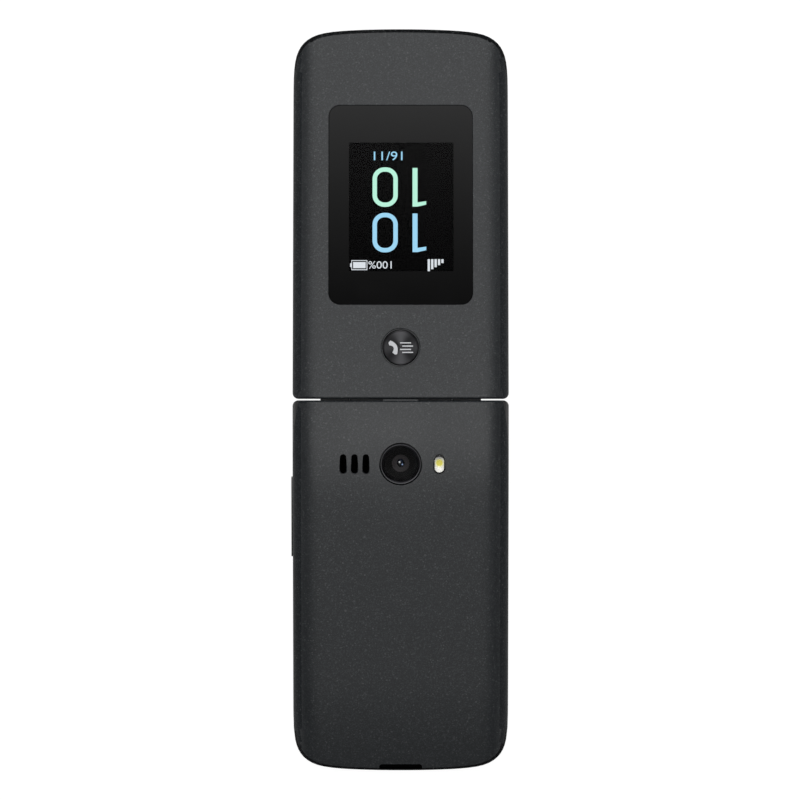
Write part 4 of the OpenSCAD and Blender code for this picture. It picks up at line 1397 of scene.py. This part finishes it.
@dataclass
class Keypad:
    """The keys, each a softened cap with its sign.

    Args:
        digit_u: distance of the first digit row from the hinge axis.
        call_u: distance of the call row.
        nav_u: distance of the navigation ring's centre.
        top: height of the caps' middle line.
        crown: radius of the caps' crown.
    """

    digit_u: float = 52.4
    call_u: float = 41.0
    nav_u: float = 22.5
    top: float = 0.3
    crown: float = 30.0

    def rise(self, off: float) -> float:
        """Height of a crowned cap at a distance from its middle line."""
        return self.top + self.crown - math.sqrt(self.crown ** 2 - off ** 2)

    def key(self, node: str, sign: bpy.types.Object | None, cap_finish: Finish, sign_finish: Finish) -> None:
        """Joins a softened cap with its sign, which is already laid on it.

        Args:
            node: the key's CAD node, which has its body's name.
            sign: the sign in the body's own frame, if it has one.
            cap_finish: the cap's finish.
            sign_finish: the sign's finish.
        """
        cap_piece = refined(node, f"{node}_cap", 0.16)
        if not sign:
            dress(cap_piece, None, "key_plastic", node, [node], cap_finish)
            return
        seat(sign, Half.BODY)
        paint_faces(sign, 1, lambda c, n: True)
        paint(cap_piece, cap_finish, sign_finish)
        paint(sign, cap_finish, sign_finish)
        dress(join(cap_piece.name, cap_piece, sign), None, "key_plastic", node, [node])

    def digits(self) -> None:
        """The twelve digit keys."""
        signs = [["1", "2", "3"], ["4", "5", "6"], ["7", "8", "9"], ["*", "0", "#"]]
        names = {"*": "star", "#": "hash"}
        for row, line in enumerate(signs):
            for column, text in enumerate(line):
                u = self.digit_u + row * ROW
                size = 6.4 if text == "*" else 4.4
                sign = lettering(text, size, ((1 - column) * COLUMN, u), 0.0, 2 * PRINT)
                printed(sign, lambda x, at_u: self.rise(at_u - u))
                self.key(f"key_{names.get(text, text)}", sign, KEY_PLASTIC, LEGEND)

    def call_row(self) -> None:
        """The call, back and end keys."""
        c = self.call_u
        tip = [(1.5, c), (0.2, c + 1.3), (-0.35, c + 0.85), (0.45, c), (-0.35, c - 0.85), (0.2, c - 1.3)]
        for node, sign, finish in (("call_key", handset((COLUMN, c), 3.4, 90.0), LEGEND_GREEN),
                                   ("end_key", handset((-COLUMN, c), 3.4, 90.0), LEGEND_RED),
                                   ("back_key", prism("sign", tip, -PRINT, PRINT), LEGEND)):
            self.key(node, printed(sign, lambda x, u: self.rise(u - c)), KEY_PLASTIC, finish)

    def upper_keys(self) -> None:
        """The soft keys, the navigation ring and the middle key."""
        for node, side in (("soft_key_left", 1), ("soft_key_right", -1)):
            bar = prism("sign", rounded(2.6, 0.5, 0.2, (side * 20.8, self.nav_u - 6.4)), -PRINT, PRINT)
            self.key(node, printed(bar, lambda x, u: self.rise(abs(x) - 19.2)), KEY_PLASTIC, LEGEND)
        marks = []
        for turn in range(4):
            s, c = math.sin(math.pi / 2 * turn), math.cos(math.pi / 2 * turn)
            arrow = [(r * c - t * s, self.nav_u + r * s + t * c)
                     for r, t in ((9.2, 0.0), (8.2, 0.8), (8.2, -0.8))]
            marks.append(prism("sign", arrow, 0.515, 0.565))
        self.key("nav_ring", join("sign", *marks), DARK_METAL, LEGEND)
        self.key("ok_key", None, KEY_PLASTIC, LEGEND)

    def build(self) -> None:
        """Builds all keys."""
        self.digits()
        self.call_row()
        self.upper_keys()


@dataclass
class MainDisplay:
    """The main display: its lens with a printed border, over the dark panel.

    Args:
        size: width and length of the lens.
        middle_u: distance of its middle from the hinge axis.
        z: heights of the lens's outer and inner face.
        clear: width and length of the clear area.
    """

    size: Pair = (48.0, 68.0)
    middle_u: float = 51.0
    z: Pair = (0.3, 1.05)
    clear: Pair = (40.0, 54.0)

    def build(self) -> None:
        """Builds the lens."""
        w, l = self.size
        at = (0.0, self.middle_u)
        outer, inner = self.z
        clear_plan = rounded(*self.clear, 0.4, (0.0, self.middle_u + 1.6))
        edge = ((0.3, outer), (0.0, outer + 0.12), (0.0, inner))
        border = stacked("main_window", [(rounded(w - cut, l - cut, 2.0 - cut / 2, at), z)
                                         for cut, z in edge])
        boolean(border, prism("clear_hole", clear_plan, outer - 0.5, inner + 0.5))
        glaze(border, prism("clear_window", clear_plan, outer, inner), ["main_display_lens"])


# ---- Parts that keep their CAD form -------------------------------------------------------


@dataclass
class SoftenedParts:
    """Moulded and pressed parts that keep their CAD form with softened edges.

    Args:
        parts: node, body, slot, width of the soft edge and finish.
    """

    parts: tuple[tuple[str, str, str, float, Finish], ...] = (
        ("volume_key", "volume_key", "key_plastic", 0.18, KEY_PLASTIC),
        ("battery", "phone_body", "battery_wrap", 0.35, CELL_WRAP),
        ("lid_bumpers", "lid", "rubber_black", 0.15, RUBBER),
    )

    def build(self) -> None:
        """Builds each of them."""
        for node, body, slot, width, finish in self.parts:
            dress(refined(node, f"{node}_soft", width), None, slot, body, [node], finish)


@dataclass
class PlainNodes:
    """The CAD nodes whose shape is right, each with the finish that it gets."""

    finishes: dict[str, Finish] = field(default_factory=lambda: {
        **dict.fromkeys(("lid_inner_shell", "keypad_shell", "rear_housing", "earpiece", "microphone"),
                        FRAME_BLACK),
        **dict.fromkeys(("quick_key_switch", "lid_magnet", "lid_screws", "hinge_cartridge", "hinge_shaft",
                         "hinge_bush", "usb_port", "sim_holder", "vibration_motor", "body_screws",
                         "earpiece_mesh"), STEEL),
        "lid_chassis": ALLOY, "lid_board": BOARD_GREEN, "main_board": BOARD_GREEN, "battery_contacts": GOLD,
        # The speaker mesh and the loudspeaker are darkened past their own black as painted shade behind the
        # slots.
        "hinge_flex": FILM, "dome_sheet": DOME_FILM, "volume_switch": DOME_FILM, "speaker_mesh": SHADED_MESH_BLACK,
        "loudspeaker": SHADE_LINING, "main_display_panel": PANEL,
    })

    def build(self) -> None:
        """Dresses every node that no piece has replaced."""
        flat = Half.BODY.matrix.inverted()
        for name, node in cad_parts.items():
            if node.hide_render:
                continue
            if name == "rear_housing":
                paint(node, self.finishes[name], SHADE_LINING)
                # Painted shade: the housing's upward faces seen through the notch get the near-black lining.
                paint_faces(node, 1, lambda c, n: (flat @ c).y > 97.0 and abs(c.x) < 0.008 and n.z > 0.8)
            else:
                paint(node, self.finishes[name])
            LOG.info("%s keeps its CAD shape", name)


# ---- Studio -------------------------------------------------------------------------------


WHITE = (1.0, 1.0, 1.0, 1.0)


def bare_material(obj: bpy.types.Object, name: str) -> tuple[Nodes, bpy.types.NodeSocket]:
    """Gives an object a material without a shader.

    Args:
        obj: the object.
        name: the material's name.

    Returns:
        The writer of its tree and the socket for its surface.
    """
    material = bpy.data.materials.new(name)
    material.use_nodes = True
    obj.data.materials.append(material)
    tree = material.node_tree
    tree.nodes.remove(tree.nodes["Principled BSDF"])
    return Nodes(tree), tree.nodes["Material Output"].inputs["Surface"]


@dataclass
class Studio:
    """The pale floor, the soft boxes, the sky and the camera.

    Args:
        height: height of the soft boxes over the floor.
    """

    height: float = 0.6

    @staticmethod
    def background(n: Nodes) -> bpy.types.NodeSocket:
        """How far a ray sees the white background: the camera in full, reflections in part."""
        path = n.add("ShaderNodeLightPath")
        mirrored = n.math("MULTIPLY", path.outputs["Is Glossy Ray"], 0.5)
        seen = n.math("MAXIMUM", path.outputs["Is Camera Ray"], path.outputs["Is Transmission Ray"])
        return n.math("MAXIMUM", seen, mirrored)

    def floor(self) -> None:
        """A pale floor that keeps the phone's shadow, looks white to the camera and is clear from below."""
        deselect()
        bpy.ops.mesh.primitive_circle_add(vertices=96, radius=3.0, fill_type="NGON")
        obj = named(bpy.context.object, "floor")
        n, surface = bare_material(obj, "pale_floor")
        plain = n.add("ShaderNodeBsdfDiffuse", {"Color": (0.8, 0.8, 0.8, 1.0)})
        shown = n.add("ShaderNodeBsdfDiffuse", {"Color": (0.12, 0.12, 0.12, 1.0)})
        glow = n.add("ShaderNodeEmission", {"Color": WHITE, "Strength": 0.96})
        both = n.add("ShaderNodeAddShader", {0: shown.outputs[0], 1: glow.outputs[0]})
        mixed = n.add("ShaderNodeMixShader", {0: self.background(n), 1: plain.outputs[0], 2: both.outputs[0]})
        under = n.add("ShaderNodeNewGeometry").outputs["Backfacing"]
        clear = n.add("ShaderNodeBsdfTransparent")
        sided = n.add("ShaderNodeMixShader", {0: under, 1: mixed.outputs[0], 2: clear.outputs[0]})
        n.link(sided.outputs[0], surface)

    def soft_box(self, name: str, centre: Point, size: Pair, strength: float, ramp: float = 0.0) -> None:
        """A glowing panel that the camera doesn't see.

        Args:
            name: its name.
            centre: its middle, in metres.
            size: its size along x and y, in metres.
            strength: its radiance.
            ramp: length along y over which it fades in, in metres.
        """
        deselect()
        bpy.ops.mesh.primitive_grid_add(x_subdivisions=2, y_subdivisions=2, size=1.0)
        obj = named(bpy.context.object, name)
        for v in obj.data.vertices:
            v.co = (centre[0] + v.co.x * size[0], centre[1] + v.co.y * size[1], centre[2])
        with editing(obj, "FACE"):
            bpy.ops.mesh.flip_normals()
        n, surface = bare_material(obj, name)
        power = strength
        if ramp > 0.0:
            y = n.add("ShaderNodeSeparateXYZ", {0: n.place()}).outputs[1]
            start = centre[1] - size[1] / 2
            power = n.math("MULTIPLY", n.math("POWER", n.span(y, start, start + ramp), 3.0), strength)
        back = n.add("ShaderNodeNewGeometry").outputs["Backfacing"]
        lit = n.math("MULTIPLY", n.math("SUBTRACT", 1.0, back), power)
        n.link(n.add("ShaderNodeEmission", {"Color": WHITE, "Strength": lit}).outputs[0], surface)
        obj.visible_camera = False
        obj.visible_shadow = False

    def sky(self) -> None:
        """A low even sky beyond the ceiling, white to the camera and in reflections."""
        world = bpy.data.worlds.new("studio_sky")
        bpy.context.scene.world = world
        world.use_nodes = True
        tree = world.node_tree
        n = Nodes(tree)
        fill = n.add("ShaderNodeBackground", {"Color": WHITE, "Strength": 0.3})
        white = n.add("ShaderNodeBackground", {"Color": WHITE, "Strength": 1.0})
        mixed = n.add("ShaderNodeMixShader", {0: self.background(n), 1: fill.outputs[0], 2: white.outputs[0]})
        n.link(mixed.outputs[0], tree.nodes["World Output"].inputs["Surface"])

    def camera(self) -> None:
        """The camera, straight above."""
        data = bpy.data.cameras.new("camera")
        data.lens = 285.0
        data.sensor_width = 36.0
        data.clip_start = 0.05
        data.clip_end = 20.0
        obj = bpy.data.objects.new("camera", data)
        bpy.context.scene.collection.objects.link(obj)
        obj.location = (-0.00018, -0.0001, 1.7251)
        bpy.context.scene.camera = obj

    def build(self) -> None:
        """Builds the whole studio."""
        self.floor()
        self.soft_box("near_box", (0.0, 0.015, self.height), (0.8, 0.29), 2.65)
        self.soft_box("far_box", (0.0, 0.54, self.height), (1.24, 0.76), 2.75, ramp=0.26)
        self.soft_box("rear_box", (0.0, -0.45, self.height), (0.56, 0.64), 0.43)
        self.soft_box("dim_ceiling", (0.0, 0.0, self.height + 0.02), (8.0, 8.0), 0.1)
        self.sky()
        self.camera()
        bpy.context.scene.view_settings.view_transform = "Standard"


def main() -> None:
    """Builds the phone and its studio."""
    logging.basicConfig(level=logging.INFO, format="%(name)s: %(message)s")
    Studio().build()
    for assembly in (LidBack(), OuterWindow(), QuickKey(), BatteryCover(), Camera(), Flash(), Keypad(),
                     MainDisplay(), SoftenedParts(), PlainNodes()):
        assembly.build()


if __name__ == "__main__":
    main()
